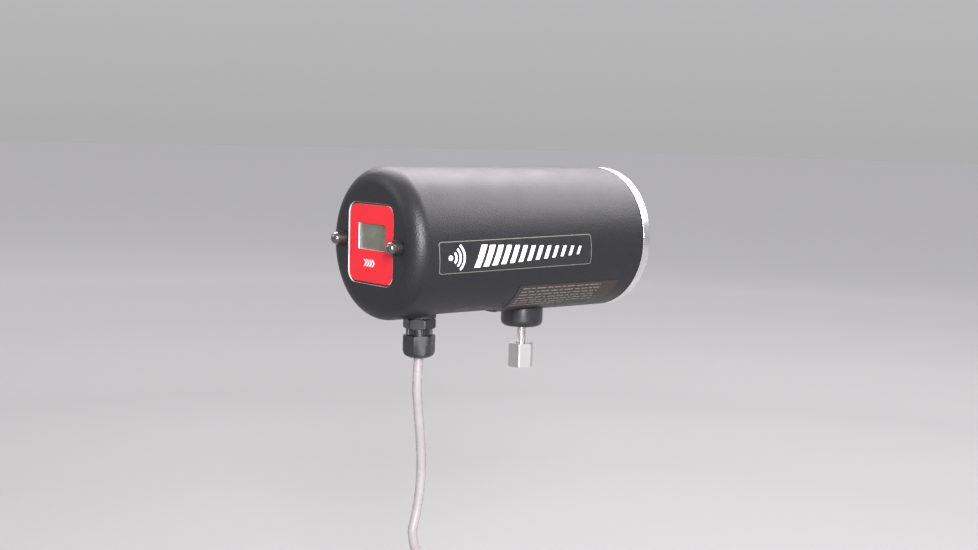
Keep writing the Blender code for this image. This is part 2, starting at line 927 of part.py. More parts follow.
def lead_route():
    """Down from inside the gland with the slight bow of a cable kept coiled, then a bend on to the
    outermost turn at the top of the coil."""
    gland_x = REAR_X + GLAND_X
    hanging = [
        Vector((gland_x, 0, 0.0270)),
        Vector((gland_x, 0, 0.0134)),
        Vector((gland_x - 0.0007, 0, 0.0040)),
        Vector((gland_x - 0.0008, 0, -0.0090)),
        Vector((gland_x + 0.0009, 0, -0.0260)),
        Vector((gland_x + 0.0031, 0, -0.0460)),
        Vector((gland_x + 0.0038, 0, -0.0660)),
        Vector((gland_x + 0.0016, 0, -0.0860)),
        Vector((LEAD_X, 0, -0.1020)),
    ]
    bend_top = COIL_Z + OUTER_TURN_RADIUS + LEAD_BEND_RADIUS
    bend = [
        Vector(
            (
                COIL_X - LEAD_BEND_RADIUS * math.cos(angle),
                0,
                bend_top - LEAD_BEND_RADIUS * math.sin(angle),
            )
        )
        for angle in (math.radians(step) for step in (0, 22.5, 45, 67.5, 90))
    ]
    return smooth_route(hanging + bend, 0.006)


def tail_route():
    """From the top of the coil round to its front, moving out sideways to the plug beside it."""
    route = []
    for step in range(7):
        angle = math.radians(90 - 15 * step)
        share = step / 6
        sideways = share * share * (3 - 2 * share)
        route.append(
            Vector(
                (
                    COIL_X + OUTER_TURN_RADIUS * math.cos(angle),
                    TURN_SPACING + (PLUG_Y - TURN_SPACING) * sideways,
                    COIL_Z + OUTER_TURN_RADIUS * math.sin(angle),
                )
            )
        )
    route.append(route[-1] - Vector((0, 0, PLUG_DROP)))
    return smooth_route(route, 0.006)


def make_power_lead():
    """The lead down to its store, a tied coil whose turns fill a ring, and the tail to the plug."""
    at_coil = Vector((COIL_X, 0, COIL_Z))
    inner = COIL_RADIUS - COIL_HALF_SECTION
    outer = COIL_RADIUS + COIL_HALF_SECTION
    half = COIL_HALF_SECTION
    corner = CABLE_RADIUS * 0.7
    turned(
        "power_cable_coil",
        [
            (inner, -half + corner),
            (inner + corner, -half),
            (outer - corner, -half),
            (outer, -half + corner),
            (outer, half - corner),
            (outer - corner, half),
            (inner + corner, half),
            (inner, half - corner),
        ],
        at_coil,
        TURNED_ABOUT_Y,
        CABLE_GREY,
        36,
        ring=True,
    )
    lead = tube("power_cable_lead", lead_route(), CABLE_RADIUS, CABLE_GREY)
    coil_outside = disc(
        "coil_outside_cutter", outer + GAP, -0.02, 0.02, at_coil, TURNED_ABOUT_Y, steps=48
    )
    combine(lead, coil_outside, "DIFFERENCE")
    tail = tube("power_cable_tail", tail_route(), CABLE_RADIUS, CABLE_GREY)
    beside_coil = block(
        "coil_side_cutter", (0.12, 0.06, 0.12), at_coil + Vector((0, half + GAP - 0.03, 0))
    )
    combine(tail, beside_coil, "DIFFERENCE")
    tie_clearance = 0.0007
    tie_wall = 0.0012
    window_inner = inner - tie_clearance
    window_outer = outer + GAP
    window_half = half + GAP
    for name, degrees in (("cable_tie_upper", 150), ("cable_tie_lower", 270)):
        angle = math.radians(degrees)
        outward = Vector((math.cos(angle), 0, math.sin(angle)))
        middle = at_coil + outward * (window_inner + window_outer) / 2
        span = window_outer - window_inner
        turn = (0, -angle, 0)
        tie = block(
            name,
            (span + 2 * tie_wall, 2 * (window_half + tie_wall), 0.008),
            middle,
            BLACK_SMOOTH,
            rotation=turn,
            edge=0.0005,
        )
        hole = block(f"{name}_cutter", (span, 2 * window_half, 0.02), middle, rotation=turn)
        combine(tie, hole, "DIFFERENCE")


def make_plug():
    """A 12 volt accessory plug, hanging beside the coil with its tip down."""
    at_plug = Vector((COIL_X + OUTER_TURN_RADIUS, PLUG_Y, COIL_Z - PLUG_DROP - GAP))
    turned(
        "plug_strain_relief",
        [(0, 0), (0.0042, 0), (0.0058, -0.018), (0.0075, -0.020), (0, -0.020)],
        at_plug,
        TURNED_ABOUT_Z,
        RUBBER,
        20,
    )
    turned(
        "plug_body",
        [
            (0, -0.0203),
            (0.0085, -0.0203),
            (0.0104, -0.0230),
            (0.0108, -0.0400),
            (0.0104, -0.0560),
            (0.0096, -0.0580),
            (0, -0.0580),
        ],
        at_plug,
        TURNED_ABOUT_Z,
        BLACK_SMOOTH,
        28,
    )
    nose = turned(
        "plug_nose",
        [(0, -0.0583), (0.0085, -0.0583), (0.0085, -0.0740), (0.0060, -0.0780), (0, -0.0780)],
        at_plug,
        TURNED_ABOUT_Z,
        BLACK_SMOOTH,
        28,
    )
    for side, name in ((1, "front"), (-1, "rear")):
        slot = block(
            f"plug_slot_cutter_{name}",
            (0.006, 0.0036, 0.0126),
            at_plug + Vector((side * 0.0095, 0, -0.0665)),
        )
        combine(nose, slot, "DIFFERENCE")
        block(
            f"plug_side_contact_{name}",
            (0.0026, 0.0030, 0.0120),
            at_plug + Vector((side * 0.0081, 0, -0.0665)),
            STEEL,
            edge=0.0006,
        )
    disc("plug_tip_contact", 0.0030, -0.0830, -0.0783, at_plug, TURNED_ABOUT_Z, STEEL, 20)


# ---------------------------------------------------------------- tripod mount


def make_mount():
    """The black boss under the body, its stud with a saddle plate and a locknut inside, and the
    coupling nut that a tripod's screw holds."""
    at_mount = Vector((0, 0, 0))
    body_bottom = BODY_AXIS_Z - BODY_RADIUS
    hole = STUD_RADIUS + GAP
    edge = 0.0040
    boss = turned(
        "mount_boss",
        [
            (hole, BOSS_BOTTOM_Z),
            *arc((BOSS_RADIUS - edge, BOSS_BOTTOM_Z + edge), edge, -90, 0, 4),
            (BOSS_RADIUS, body_bottom + 0.006),
            (hole, body_bottom + 0.006),
        ],
        at_mount,
        TURNED_ABOUT_Z,
        BLACK_SMOOTH,
        40,
        ring=True,
    )
    body_surface = disc(
        "body_surface_cutter",
        BODY_RADIUS + GAP,
        0,
        BODY_LENGTH,
        body_point(0, 0, 0),
        TURNED_ABOUT_X,
        steps=ROUND_STEPS,
    )
    combine(boss, body_surface, "DIFFERENCE")
    plate_top = body_bottom + 0.0080
    plate = washer(
        "boss_backing_plate", hole, 0.0130, body_bottom, plate_top, at_mount, TURNED_ABOUT_Z, ALUMINIUM
    )
    body_inside = disc(
        "body_inside_cutter",
        BODY_RADIUS - WALL - GAP,
        0,
        BODY_LENGTH,
        body_point(0, 0, 0),
        TURNED_ABOUT_X,
        steps=ROUND_STEPS,
    )
    combine(plate, body_inside, "INTERSECT")
    locknut_bottom = plate_top + GAP
    locknut_height = 0.0056
    locknut = hexagon(
        "stud_locknut", 0.0111, locknut_bottom, locknut_bottom + locknut_height, at_mount, STEEL
    )
    locknut_bore = disc(
        "stud_locknut_cutter", hole, body_bottom, body_bottom + 0.03, at_mount, TURNED_ABOUT_Z, steps=24
    )
    combine(locknut, locknut_bore, "DIFFERENCE")
    chamfer = 0.0006
    stud_top = locknut_bottom + locknut_height + 0.0015
    turned(
        "mounting_stud",
        [
            (0, STUD_BOTTOM_Z),
            (STUD_RADIUS - chamfer, STUD_BOTTOM_Z),
            (STUD_RADIUS, STUD_BOTTOM_Z + chamfer),
            (STUD_RADIUS, stud_top - chamfer),
            (STUD_RADIUS - chamfer, stud_top),
            (0, stud_top),
        ],
        at_mount,
        TURNED_ABOUT_Z,
        STEEL,
        24,
    )
    nut = hexagon("coupling_nut", NUT_FLATS, 0, NUT_HEIGHT, at_mount, ALUMINIUM, turn=NUT_TURN)
    nut.parent = None
    nut_bore = disc(
        "coupling_nut_cutter", NUT_BORE_RADIUS, -0.01, NUT_HEIGHT + 0.01, at_mount, TURNED_ABOUT_Z, steps=24
    )
    combine(nut, nut_bore, "DIFFERENCE")
    corner = NUT_FLATS / math.sqrt(3)
    rounded = turned(
        "coupling_nut_turning",
        [
            (0, -0.001),
            (corner - 0.0006 - 0.0010, -0.001),
            (corner - 0.0006, 0),
            (corner + 0.0002, 0.0005),
            (corner + 0.0002, NUT_HEIGHT - 0.0004),
            (corner - 0.0006, NUT_HEIGHT),
            (0, NUT_HEIGHT),
        ],
        at_mount,
        TURNED_ABOUT_Z,
        steps=48,
    )
    combine(nut, rounded, "INTERSECT")


# ---------------------------------------------------------------- labels


def make_label(name, start, end, upper_degrees, lower_degrees, material, slant=0.0, tilt_degrees=0.0):
    """A thin label bent round the body's right side. Its angles are measured down from the body's
    widest line. The slant sets its lower edge forward, and the tilt lifts its front end."""
    thickness = 0.00025
    radius = BODY_RADIUS + GAP / 2 + thickness / 2

    def surface(u, v):
        degrees = upper_degrees + (lower_degrees - upper_degrees) * v + tilt_degrees * (1 - 2 * u)
        angle = math.radians(degrees)
        return body_point(
            start + (end - start) * u + slant * (v - 0.5),
            -radius * math.cos(angle),
            -radius * math.sin(angle),
        )

    sheet(name, 2, 5, surface, thickness, material)


make_housing()
make_underside_cover()
throat_x = make_front()
chassis_top, transceiver_rear = make_transceiver(throat_x)
make_electronics(chassis_top, transceiver_rear)
make_display()
make_button(1, LEFT_BUTTON_Z, "left")
make_button(-1, RIGHT_BUTTON_Z, "right")
make_gland()
make_power_lead()
make_plug()
make_mount()
make_label("brand_label", 0.0182, 0.1446, -6.1, 17.9, LABEL_BLACK, slant=0.0027, tilt_degrees=1.1)
make_label("notice_label", 0.0902, 0.1785, 33.4, 62.6, LABEL_BROWN)
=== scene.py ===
"""The looks of a tripod-mounted sports speed radar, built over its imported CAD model.

Metres, +Z up, +X along the beam. Sizes and places come from the CAD nodes' boxes. Each visible CAD
node is replaced by a finer piece, and the pieces inside keep their CAD shape with a better material.
"""

import json
import math

import bmesh
import bpy
from mathutils import Matrix, Vector


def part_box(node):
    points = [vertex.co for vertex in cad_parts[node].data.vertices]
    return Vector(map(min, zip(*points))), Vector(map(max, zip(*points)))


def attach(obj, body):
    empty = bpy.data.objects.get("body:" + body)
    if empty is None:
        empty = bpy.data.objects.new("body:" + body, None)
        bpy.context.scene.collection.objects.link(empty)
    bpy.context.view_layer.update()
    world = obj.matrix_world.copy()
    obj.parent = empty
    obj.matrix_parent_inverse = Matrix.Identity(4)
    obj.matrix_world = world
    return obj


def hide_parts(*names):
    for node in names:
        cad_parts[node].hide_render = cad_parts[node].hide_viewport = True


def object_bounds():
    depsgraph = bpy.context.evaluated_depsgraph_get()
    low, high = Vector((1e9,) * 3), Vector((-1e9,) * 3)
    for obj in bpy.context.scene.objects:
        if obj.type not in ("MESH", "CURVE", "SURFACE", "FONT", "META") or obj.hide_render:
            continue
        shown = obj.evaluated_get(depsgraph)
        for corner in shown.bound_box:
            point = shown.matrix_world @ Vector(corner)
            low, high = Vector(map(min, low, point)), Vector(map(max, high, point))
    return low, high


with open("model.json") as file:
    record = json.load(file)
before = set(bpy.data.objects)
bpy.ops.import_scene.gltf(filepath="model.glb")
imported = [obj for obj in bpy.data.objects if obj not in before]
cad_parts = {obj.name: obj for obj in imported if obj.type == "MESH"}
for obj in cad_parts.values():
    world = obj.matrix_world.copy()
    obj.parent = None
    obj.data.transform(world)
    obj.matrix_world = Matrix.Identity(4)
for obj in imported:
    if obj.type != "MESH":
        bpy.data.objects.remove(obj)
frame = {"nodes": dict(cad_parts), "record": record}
cad_box = [list(corner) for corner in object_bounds()]

RADAR = "radar_body"
ADAPTER = "tripod_adapter"
ABOUT_X = (0, math.pi / 2, 0)
ABOUT_Z = (0, 0, 0)
FINE_STEPS = 144
ROUND_STEPS = 64


def low(node):
    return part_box(node)[0]


def high(node):
    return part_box(node)[1]


def middle(node):
    return (low(node) + high(node)) / 2


# Driving places, from the CAD nodes
SHELL_LOW, SHELL_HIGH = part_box("housing_shell")
BODY_RADIUS = (SHELL_HIGH.z - SHELL_LOW.z) / 2
AXIS = Vector((SHELL_LOW.x, 0, (SHELL_HIGH.z + SHELL_LOW.z) / 2))
WALL = 0.0030
REAR_FILLET = 0.0120
COVER_DEPTH = 0.0016
GLAND = middle("gland_body")
CABLE_RADIUS = 0.0031


def body_point(along, across, above_axis):
    return AXIS + Vector((along, across, above_axis))


# ---------------------------------------------------------------- camera


def make_camera():
    """Behind the radar, to its right, a little above its top."""
    place = (-0.5954, -0.7007, 0.1585)
    yaw, pitch, roll = (math.radians(d) for d in (-38.90, -5.95, 1.47))
    data = bpy.data.cameras.new("camera")
    data.sensor_width = 36
    data.lens = 49.30
    camera = bpy.data.objects.new("camera", data)
    bpy.context.scene.collection.objects.link(camera)
    turn = Matrix.Rotation(yaw, 4, "Z") @ Matrix.Rotation(math.pi / 2 + pitch, 4, "X")
    camera.matrix_world = Matrix.Translation(place) @ turn @ Matrix.Rotation(roll, 4, "Z")
    bpy.context.scene.camera = camera


# ---------------------------------------------------------------- materials


class Surface:
    """A procedural material: a Principled BSDF with noise in its colour, roughness and bump."""

    def __init__(self, name, colour, roughness, metallic=0.0, **settings):
        self.material = bpy.data.materials.new(name)
        self.material.use_nodes = True
        self.tree = self.material.node_tree
        self.shader = self.tree.nodes["Principled BSDF"]
        self.colour = (*colour, 1)
        self.shader.inputs["Base Color"].default_value = self.colour
        self.shader.inputs["Roughness"].default_value = roughness
        self.shader.inputs["Metallic"].default_value = metallic
        for key, value in settings.items():
            self.shader.inputs[key.replace("_", " ")].default_value = value
        self.coordinates = self.node("ShaderNodeTexCoord").outputs["Object"]
        self.bumped = None

    def node(self, kind, **values):
        made = self.tree.nodes.new(kind)
        for key, value in values.items():
            if hasattr(made, key):
                setattr(made, key, value)
            else:
                made.inputs[key].default_value = value
        return made

    def link(self, start, end):
        self.tree.links.new(start, end)

    def stretched(self, scale):
        """The object's coordinates with each axis scaled, for grain that runs one way."""
        mapping = self.node("ShaderNodeMapping")
        mapping.inputs["Scale"].default_value = scale
        self.link(self.coordinates, mapping.inputs["Vector"])
        return mapping.outputs["Vector"]

    def noise(self, scale, detail=3.0, rough=0.5, stretch=(1, 1, 1)):
        made = self.node("ShaderNodeTexNoise", Scale=scale, Detail=detail, Roughness=rough)
        self.link(self.stretched(stretch), made.inputs["Vector"])
        return made.outputs["Fac"]

    def cells(self, scale, stretch=(1, 1, 1)):
        made = self.node("ShaderNodeTexVoronoi", Scale=scale)
        self.link(self.stretched(stretch), made.inputs["Vector"])
        return made.outputs["Distance"]

    def spread(self, value, from_low, from_high, to_low, to_high):
        made = self.node("ShaderNodeMapRange")
        limits = {"From Min": from_low, "From Max": from_high, "To Min": to_low, "To Max": to_high}
        for key, limit in limits.items():
            made.inputs[key].default_value = limit
        self.link(value, made.inputs["Value"])
        return made.outputs["Result"]

    def tint(self, other, scale, low_edge=0.35, high_edge=0.65, stretch=(1, 1, 1)):
        """Mixes the colour with another in patches of this scale."""
        mix = self.node("ShaderNodeMix", data_type="RGBA")
        mix.inputs["A"].default_value = self.colour
        mix.inputs["B"].default_value = (*other, 1)
        share = self.spread(self.noise(scale, stretch=stretch), low_edge, high_edge, 0, 1)
        self.link(share, mix.inputs["Factor"])
        self.link(mix.outputs["Result"], self.shader.inputs["Base Color"])

    def smudge(self, scale, lowest, highest, stretch=(1, 1, 1)):
        """Lets the roughness vary between these values."""
        share = self.spread(self.noise(scale, stretch=stretch), 0.3, 0.7, lowest, highest)
        self.link(share, self.shader.inputs["Roughness"])

    def bump(self, value, strength, distance):
        made = self.node("ShaderNodeBump", Strength=strength, Distance=distance)
        self.link(value, made.inputs["Height"])
        if self.bumped is not None:
            self.link(self.bumped, made.inputs["Normal"])
        self.bumped = made.outputs["Normal"]
        self.link(self.bumped, self.shader.inputs["Normal"])

    def grain(self, scale, strength, distance, detail=2.0, stretch=(1, 1, 1)):
        self.bump(self.noise(scale, detail, stretch=stretch), strength, distance)


def grained_case():
    """Black finish with a fine grain: small rounded cells with creases between them."""
    made = Surface("case_black", (0.008, 0.008, 0.009), 0.40, Specular_IOR_Level=0.23)
    made.tint((0.011, 0.011, 0.012), 900)
    made.bump(made.cells(1100), 0.7, 0.00014)
    made.grain(2600, 0.4, 0.00008, detail=4)
    made.smudge(60, 0.37, 0.44)
    return made.material


def smooth_plastic(name, colour, roughness, other=None):
    made = Surface(name, colour, roughness, Specular_IOR_Level=0.5)
    made.tint(other or tuple(c * 1.25 for c in colour), 300)
    made.smudge(120, roughness * 0.85, roughness * 1.2)
    made.grain(1800, 0.12, 0.00003)
    return made.material


def gloss_dome():
    """High-gloss black cap under a clear hard coat."""
    coat = {"Specular_IOR_Level": 0.7, "Coat_Weight": 0.8, "Coat_IOR": 1.6}
    made = Surface("button_gloss", (0.016, 0.014, 0.014), 0.20, **coat)
    made.tint((0.022, 0.019, 0.019), 400)
    made.smudge(300, 0.16, 0.24)
    return made.material


def turned_metal(name, colour, roughness, axis):
    """Bright metal with fine lines from the lathe, round the local axis."""
    stretch = [0.02, 0.02, 0.02]
    stretch[axis] = 1
    made = Surface(name, colour, roughness, 1.0)
    made.tint(tuple(c * 0.88 for c in colour), 60)
    made.grain(9000, 0.25, 0.00002, detail=1, stretch=stretch)
    made.smudge(1500, roughness * 0.75, roughness * 1.3, stretch=stretch)
    return made.material


def drawn_metal(name, colour, roughness):
    """Bar stock with fine upright draw lines, satin and even."""
    lines = (1, 1, 0.03)
    made = Surface(name, colour, roughness, 1.0)
    made.tint(tuple(c * 0.96 for c in colour), 1600, stretch=lines)
    made.smudge(1800, roughness * 0.95, roughness * 1.08, stretch=lines)
    made.grain(9000, 0.06, 0.00001, stretch=lines)
    return made.material


def worn_metal(name, colour, roughness):
    made = Surface(name, colour, roughness, 1.0)
    made.tint(tuple(c * 0.90 for c in colour), 420)
    made.smudge(260, roughness * 0.7, roughness * 1.4)
    made.grain(2400, 0.15, 0.00002, detail=5)
    return made.material


def rubber(name, colour, roughness):
    made = Surface(name, colour, roughness, Specular_IOR_Level=0.35)
    made.tint(tuple(c * 1.4 for c in colour), 500)
    made.grain(3000, 0.3, 0.00004, detail=4)
    return made.material


def cable_jacket():
    """Glossy extruded jacket, with slight waves in the gloss along it."""
    made = Surface("cable_jacket", (0.20, 0.185, 0.185), 0.25, Specular_IOR_Level=0.4)
    made.tint((0.183, 0.170, 0.170), 90)
    made.smudge(160, 0.22, 0.34)
    made.grain(900, 0.10, 0.00004)
    return made.material


def circuit_board():
    made = Surface("circuit_board", (0.015, 0.11, 0.035), 0.42)
    made.tint((0.03, 0.20, 0.07), 420, 0.48, 0.52)
    made.grain(1600, 0.2, 0.00005)
    return made.material


def clear_window():
    made = Surface("clear_window", (0.96, 0.98, 0.95), 0.05, IOR=1.12, Transmission_Weight=1.0)
    made.smudge(90, 0.03, 0.07)
    return made.material


def lcd_glass():
    """Grey-green liquid crystal, a little darker in slow patches."""
    made = Surface("lcd_glass", (0.150, 0.148, 0.122), 0.35, Coat_Weight=0.5, Coat_Roughness=0.12)
    made.tint((0.134, 0.140, 0.110), 70)
    made.grain(4000, 0.08, 0.00002)
    return made.material


def red_print():
    made = Surface("panel_red", (0.41, 0.013, 0.020), 0.45, Specular_IOR_Level=0.16)
    made.tint((0.39, 0.012, 0.019), 160)
    made.grain(2600, 0.18, 0.00003, detail=3)
    made.smudge(140, 0.36, 0.48)
    return made.material


def woven_tie():
    made = Surface("tie_black", (0.018, 0.018, 0.020), 0.8, Sheen_Weight=0.3)
    made.bump(made.cells(2200), 0.6, 0.0002)
    made.tint((0.03, 0.03, 0.032), 1400)
    return made.material


MATERIALS = {
    "case_black": grained_case(),
    "button_gloss": gloss_dome(),
    "panel_red": red_print(),
    "window_clear": clear_window(),
    "lcd_grey": lcd_glass(),
    "aluminium_bright": turned_metal("aluminium_bright", (0.83, 0.83, 0.82), 0.2, 2),
    "cable_jacket": cable_jacket(),
    "cable_tie_black": woven_tie(),
    "board_green": circuit_board(),
}
# The rest by kind: slot, colour, roughness
SIMPLE_MATERIALS = (
    (smooth_plastic, "trim_black", (0.009, 0.009, 0.010), 0.28),
    (smooth_plastic, "cover_grey", (0.020, 0.020, 0.021), 0.55),
    (smooth_plastic, "panel_edge", (0.78, 0.74, 0.74), 0.4),
    # Pale grey for the black case's pocket edge: a painted highlight, not the case's own colour
    (smooth_plastic, "pocket_edge", (0.34, 0.31, 0.31), 0.35),
    (smooth_plastic, "component_black", (0.02, 0.02, 0.022), 0.5),
    (smooth_plastic, "label_black", (0.006, 0.006, 0.007), 0.34),
    (smooth_plastic, "label_brown", (0.012, 0.009, 0.008), 0.5),
    (smooth_plastic, "label_border", (0.10, 0.095, 0.08), 0.35),
    (smooth_plastic, "label_white", (0.62, 0.61, 0.62), 0.35, (0.57, 0.56, 0.57)),
    (smooth_plastic, "label_lines", (0.09, 0.08, 0.075), 0.45),
    (smooth_plastic, "radome_black", (0.028, 0.028, 0.030), 0.34),
    (worn_metal, "aluminium_cast", (0.70, 0.70, 0.69), 0.4),
    (worn_metal, "zinc_steel", (0.72, 0.72, 0.70), 0.24),
    (worn_metal, "brass_plain", (0.72, 0.52, 0.22), 0.3),
    (drawn_metal, "nut_aluminium", (0.56, 0.545, 0.545), 0.34),
    (drawn_metal, "stud_steel", (0.80, 0.79, 0.78), 0.20),
    (rubber, "rubber_black", (0.018, 0.018, 0.018), 0.65),
    (rubber, "wire_red", (0.5, 0.02, 0.02), 0.35),
)
for make_material, slot_name, *look in SIMPLE_MATERIALS:
    MATERIALS[slot_name] = make_material(slot_name, *look)


# ---------------------------------------------------------------- shapes


def link_piece(obj, body, slot, material=None, replaces=()):
    """Puts a finished piece in the scene, on its body, with its finish."""
    if obj.name not in bpy.context.scene.collection.objects:
        bpy.context.scene.collection.objects.link(obj)
    obj.data.materials.clear()
    obj.data.materials.append(MATERIALS[material or slot])
    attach(obj, body)
    if replaces:
        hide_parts(*replaces)
    return obj


def smooth(mesh):
    mesh.shade_smooth()
    mesh.set_sharp_from_angle(angle=math.radians(32))


def helper_object(name, bm, location=(0, 0, 0), rotation=ABOUT_Z):
    """A new object in the scene for this shape, with its normals outwards."""
    bmesh.ops.recalc_face_normals(bm, faces=bm.faces)
    mesh = bpy.data.meshes.new(name)
    bm.to_mesh(mesh)
    bm.free()
    smooth(mesh)
    obj = bpy.data.objects.new(name, mesh)
    obj.location = location
    obj.rotation_euler = rotation
    bpy.context.scene.collection.objects.link(obj)
    return obj


def softened(points, steps=4):
    """A profile with round corners. Each point is (radius, along, corner radius)."""
    out = []
    for index, (x, y, corner) in enumerate(points):
        here = Vector((x, y))
        if not corner:
            out.append(here)
            continue
        before = Vector(points[index - 1][:2]) - here
        after = Vector(points[(index + 1) % len(points)][:2]) - here
        reach = min(corner, before.length * 0.49, after.length * 0.49)
        start = here + before.normalized() * reach
        end = here + after.normalized() * reach
        for step in range(steps + 1):
            t = step / steps
            out.append((1 - t) ** 2 * start + 2 * t * (1 - t) * here + t * t * end)
    return [tuple(point) for point in out]


def lathe(name, profile, location=(0, 0, 0), rotation=ABOUT_Z, steps=ROUND_STEPS, ring=False):
    """A turned solid from (radius, along the local Z axis) points. A ring's profile is a closed loop."""
    bm = bmesh.new()
    rings = []
    for radius, along in profile:
        if radius < 1e-6:
            rings.append([bm.verts.new((0, 0, along))] * steps)
            continue
        angles = (2 * math.pi * step / steps for step in range(steps))
        points = ((radius * math.cos(a), radius * math.sin(a), along) for a in angles)
        rings.append([bm.verts.new(point) for point in points])
    pairs = list(zip(rings, rings[1:]))
    if ring:
        pairs.append((rings[-1], rings[0]))
    for first, second in pairs:
        for step in range(steps):
            after = (step + 1) % steps
            corners = [first[step], first[after], second[after], second[step]]
            unique = list(dict.fromkeys(corners))
            if len(unique) > 2:
                bm.faces.new(unique)
    return helper_object(name, bm, location, rotation)


def box_shape(name, size, location, rotation=ABOUT_Z, edge=0.0, segments=3):
    bm = bmesh.new()
    bmesh.ops.create_cube(bm, size=1)
    bmesh.ops.scale(bm, vec=size, verts=bm.verts)
    if edge:
        edges = bm.edges[:]
        bmesh.ops.bevel(bm, geom=edges, offset=edge, segments=segments, profile=0.5, affect="EDGES")
    return helper_object(name, bm, location, rotation)


def prism(name, outline, bottom, top, location=(0, 0, 0), rotation=ABOUT_Z):
    """An outline in the local XY plane, raised from bottom to top."""
    bm = bmesh.new()
    face = bm.faces.new([bm.verts.new((x, y, bottom)) for x, y in outline])
    raised = bmesh.ops.extrude_face_region(bm, geom=[face])
    moved = [item for item in raised["geom"] if isinstance(item, bmesh.types.BMVert)]
    bmesh.ops.translate(bm, vec=(0, 0, top - bottom), verts=moved)
    return helper_object(name, bm, location, rotation)


def hexagon_outline(flats, corner=0.0006, turn=0.0):
    radius = flats / math.sqrt(3)
    angles = [math.radians(30 + 60 * k) + turn for k in range(6)]
    return softened([(radius * math.cos(a), radius * math.sin(a), corner) for a in angles], 3)


def rounded_rectangle(width, height, corner, steps=8):
    outline = []
    for quarter, (side, up) in enumerate(((1, 1), (-1, 1), (-1, -1), (1, -1))):
        for step in range(steps + 1):
            angle = math.radians(90 * (quarter + step / steps))
            x = side * (width / 2 - corner) + corner * math.cos(angle)
            outline.append((x, up * (height / 2 - corner) + corner * math.sin(angle)))
    return outline


def oval(half_length, half_width, steps=96):
    angles = (2 * math.pi * step / steps for step in range(steps))
    return [(half_length * math.cos(a), half_width * math.sin(a)) for a in angles]


def combine(obj, other, operation):
    """A Boolean with another shape, which is used up."""
    modifier = obj.modifiers.new("boolean", "BOOLEAN")
    modifier.operation = operation
    modifier.object = other
    settle(obj)
    bpy.data.objects.remove(other, do_unlink=True)
    return obj


def settle(obj):
    """Turns the object's modifiers into mesh."""
    graph = bpy.context.evaluated_depsgraph_get()
    graph.update()
    mesh = bpy.data.meshes.new_from_object(obj.evaluated_get(graph))
    obj.modifiers.clear()
    obj.data = mesh
    smooth(mesh)
    return obj


def patches(name, maps, thickness):
    """Thin raised shapes in one mesh. Each map is (columns, rows, place), and place(u, v) gives the
    point for u and v from 0 to 1."""
    bm = bmesh.new()
    for columns, rows, place in maps:
        grid = [
            [bm.verts.new(place(i / columns, j / rows)) for i in range(columns + 1)]
            for j in range(rows + 1)
        ]
        for j in range(rows):
            for i in range(columns):
                bm.faces.new((grid[j][i], grid[j][i + 1], grid[j + 1][i + 1], grid[j + 1][i]))
    obj = helper_object(name, bm)
    solid = obj.modifiers.new("thickness", "SOLIDIFY")
    solid.thickness = thickness
    solid.offset = 0
    return settle(obj)


# ---------------------------------------------------------------- power lead


def smooth_route(points, spacing):
    """Places about this far apart on a Catmull-Rom curve through the points."""
    ends = [2 * points[0] - points[1], *points, 2 * points[-1] - points[-2]]
    route = []
    for before, start, end, after in zip(ends, ends[1:], ends[2:], ends[3:]):
        count = max(1, round((end - start).length / spacing))
        for step in range(count):
            t = step / count
            bend = (2 * before - 5 * start + 4 * end - after) * t**2
            twist = (3 * start - before - 3 * end + after) * t**3
            route.append(0.5 * (2 * start + (end - before) * t + bend + twist))
    return [*route, points[-1]]


COIL = middle("power_cable_coil")
TURN_SPACING = 0.0063
COIL_RADIUS = 0.0320
OUTER_TURN_RADIUS = COIL_RADIUS + TURN_SPACING
LEAD_BEND_RADIUS = 0.0255
PLUG_Y = 0.0212
PLUG_DROP = 0.0030
# Where each turn lies in the coil's section: (sideways, outwards) in turn spacings
TURN_PLACES = ((0, 1), (-1, 1), (-1, 0), (-1, -1), (0, -1), (1, -1), (1, 0), (1, 1))


def coil_point(radius, angle, sideways):
    return Vector((COIL.x + radius * math.cos(angle), sideways, COIL.z + radius * math.sin(angle)))


def cable_route():
    """From inside the gland down to the coil, round its eight turns, and on to the plug."""
    # How far the hanging lead strays from the gland's middle, and its height
    strays = (
        (0, 0.0270),
        (0, 0.0134),
        (-0.0007, 0.0040),
        (-0.0008, -0.0090),
        (0.0009, -0.0260),
        (0.0031, -0.0460),
        (0.0038, -0.0660),
        (0.0016, -0.0860),
    )
    hanging = [Vector((GLAND.x + stray, 0, height)) for stray, height in strays]
    hanging.append(Vector((COIL.x - LEAD_BEND_RADIUS, 0, -0.1020)))
    bend_top = COIL.z + OUTER_TURN_RADIUS + LEAD_BEND_RADIUS
    bend = [
        Vector((COIL.x - LEAD_BEND_RADIUS * math.cos(a), 0, bend_top - LEAD_BEND_RADIUS * math.sin(a)))
        for a in (math.radians(step) for step in (0, 22.5, 45, 67.5))
    ]
    steps = 30
    # Each turn runs flat for this share of it, and crosses over to the next one's place in the rest
    shift_from = 300 / 360
    turns = []
    for index, (side, out) in enumerate(TURN_PLACES):
        next_side, next_out = TURN_PLACES[min(index + 1, len(TURN_PLACES) - 1)]
        for step in range(steps):
            share = step / steps
            t = max(0.0, (share - shift_from) / (1 - shift_from))
            t = t * t * (3 - 2 * t)
            angle = math.radians(90 - 360 * share)
            radius = COIL_RADIUS + TURN_SPACING * (out + (next_out - out) * t)
            sideways = TURN_SPACING * (side + (next_side - side) * t)
            turns.append(coil_point(radius, angle, sideways))
    tail = []
    for step in range(7):
        share = step / 6
        sideways = TURN_SPACING + (PLUG_Y - TURN_SPACING) * share * share * (3 - 2 * share)
        tail.append(coil_point(OUTER_TURN_RADIUS, math.radians(90 - 15 * step), sideways))
    tail.append(tail[-1] - Vector((0, 0, PLUG_DROP)))
    return smooth_route(hanging + bend, 0.006)[:-1] + turns + smooth_route(tail, 0.006)


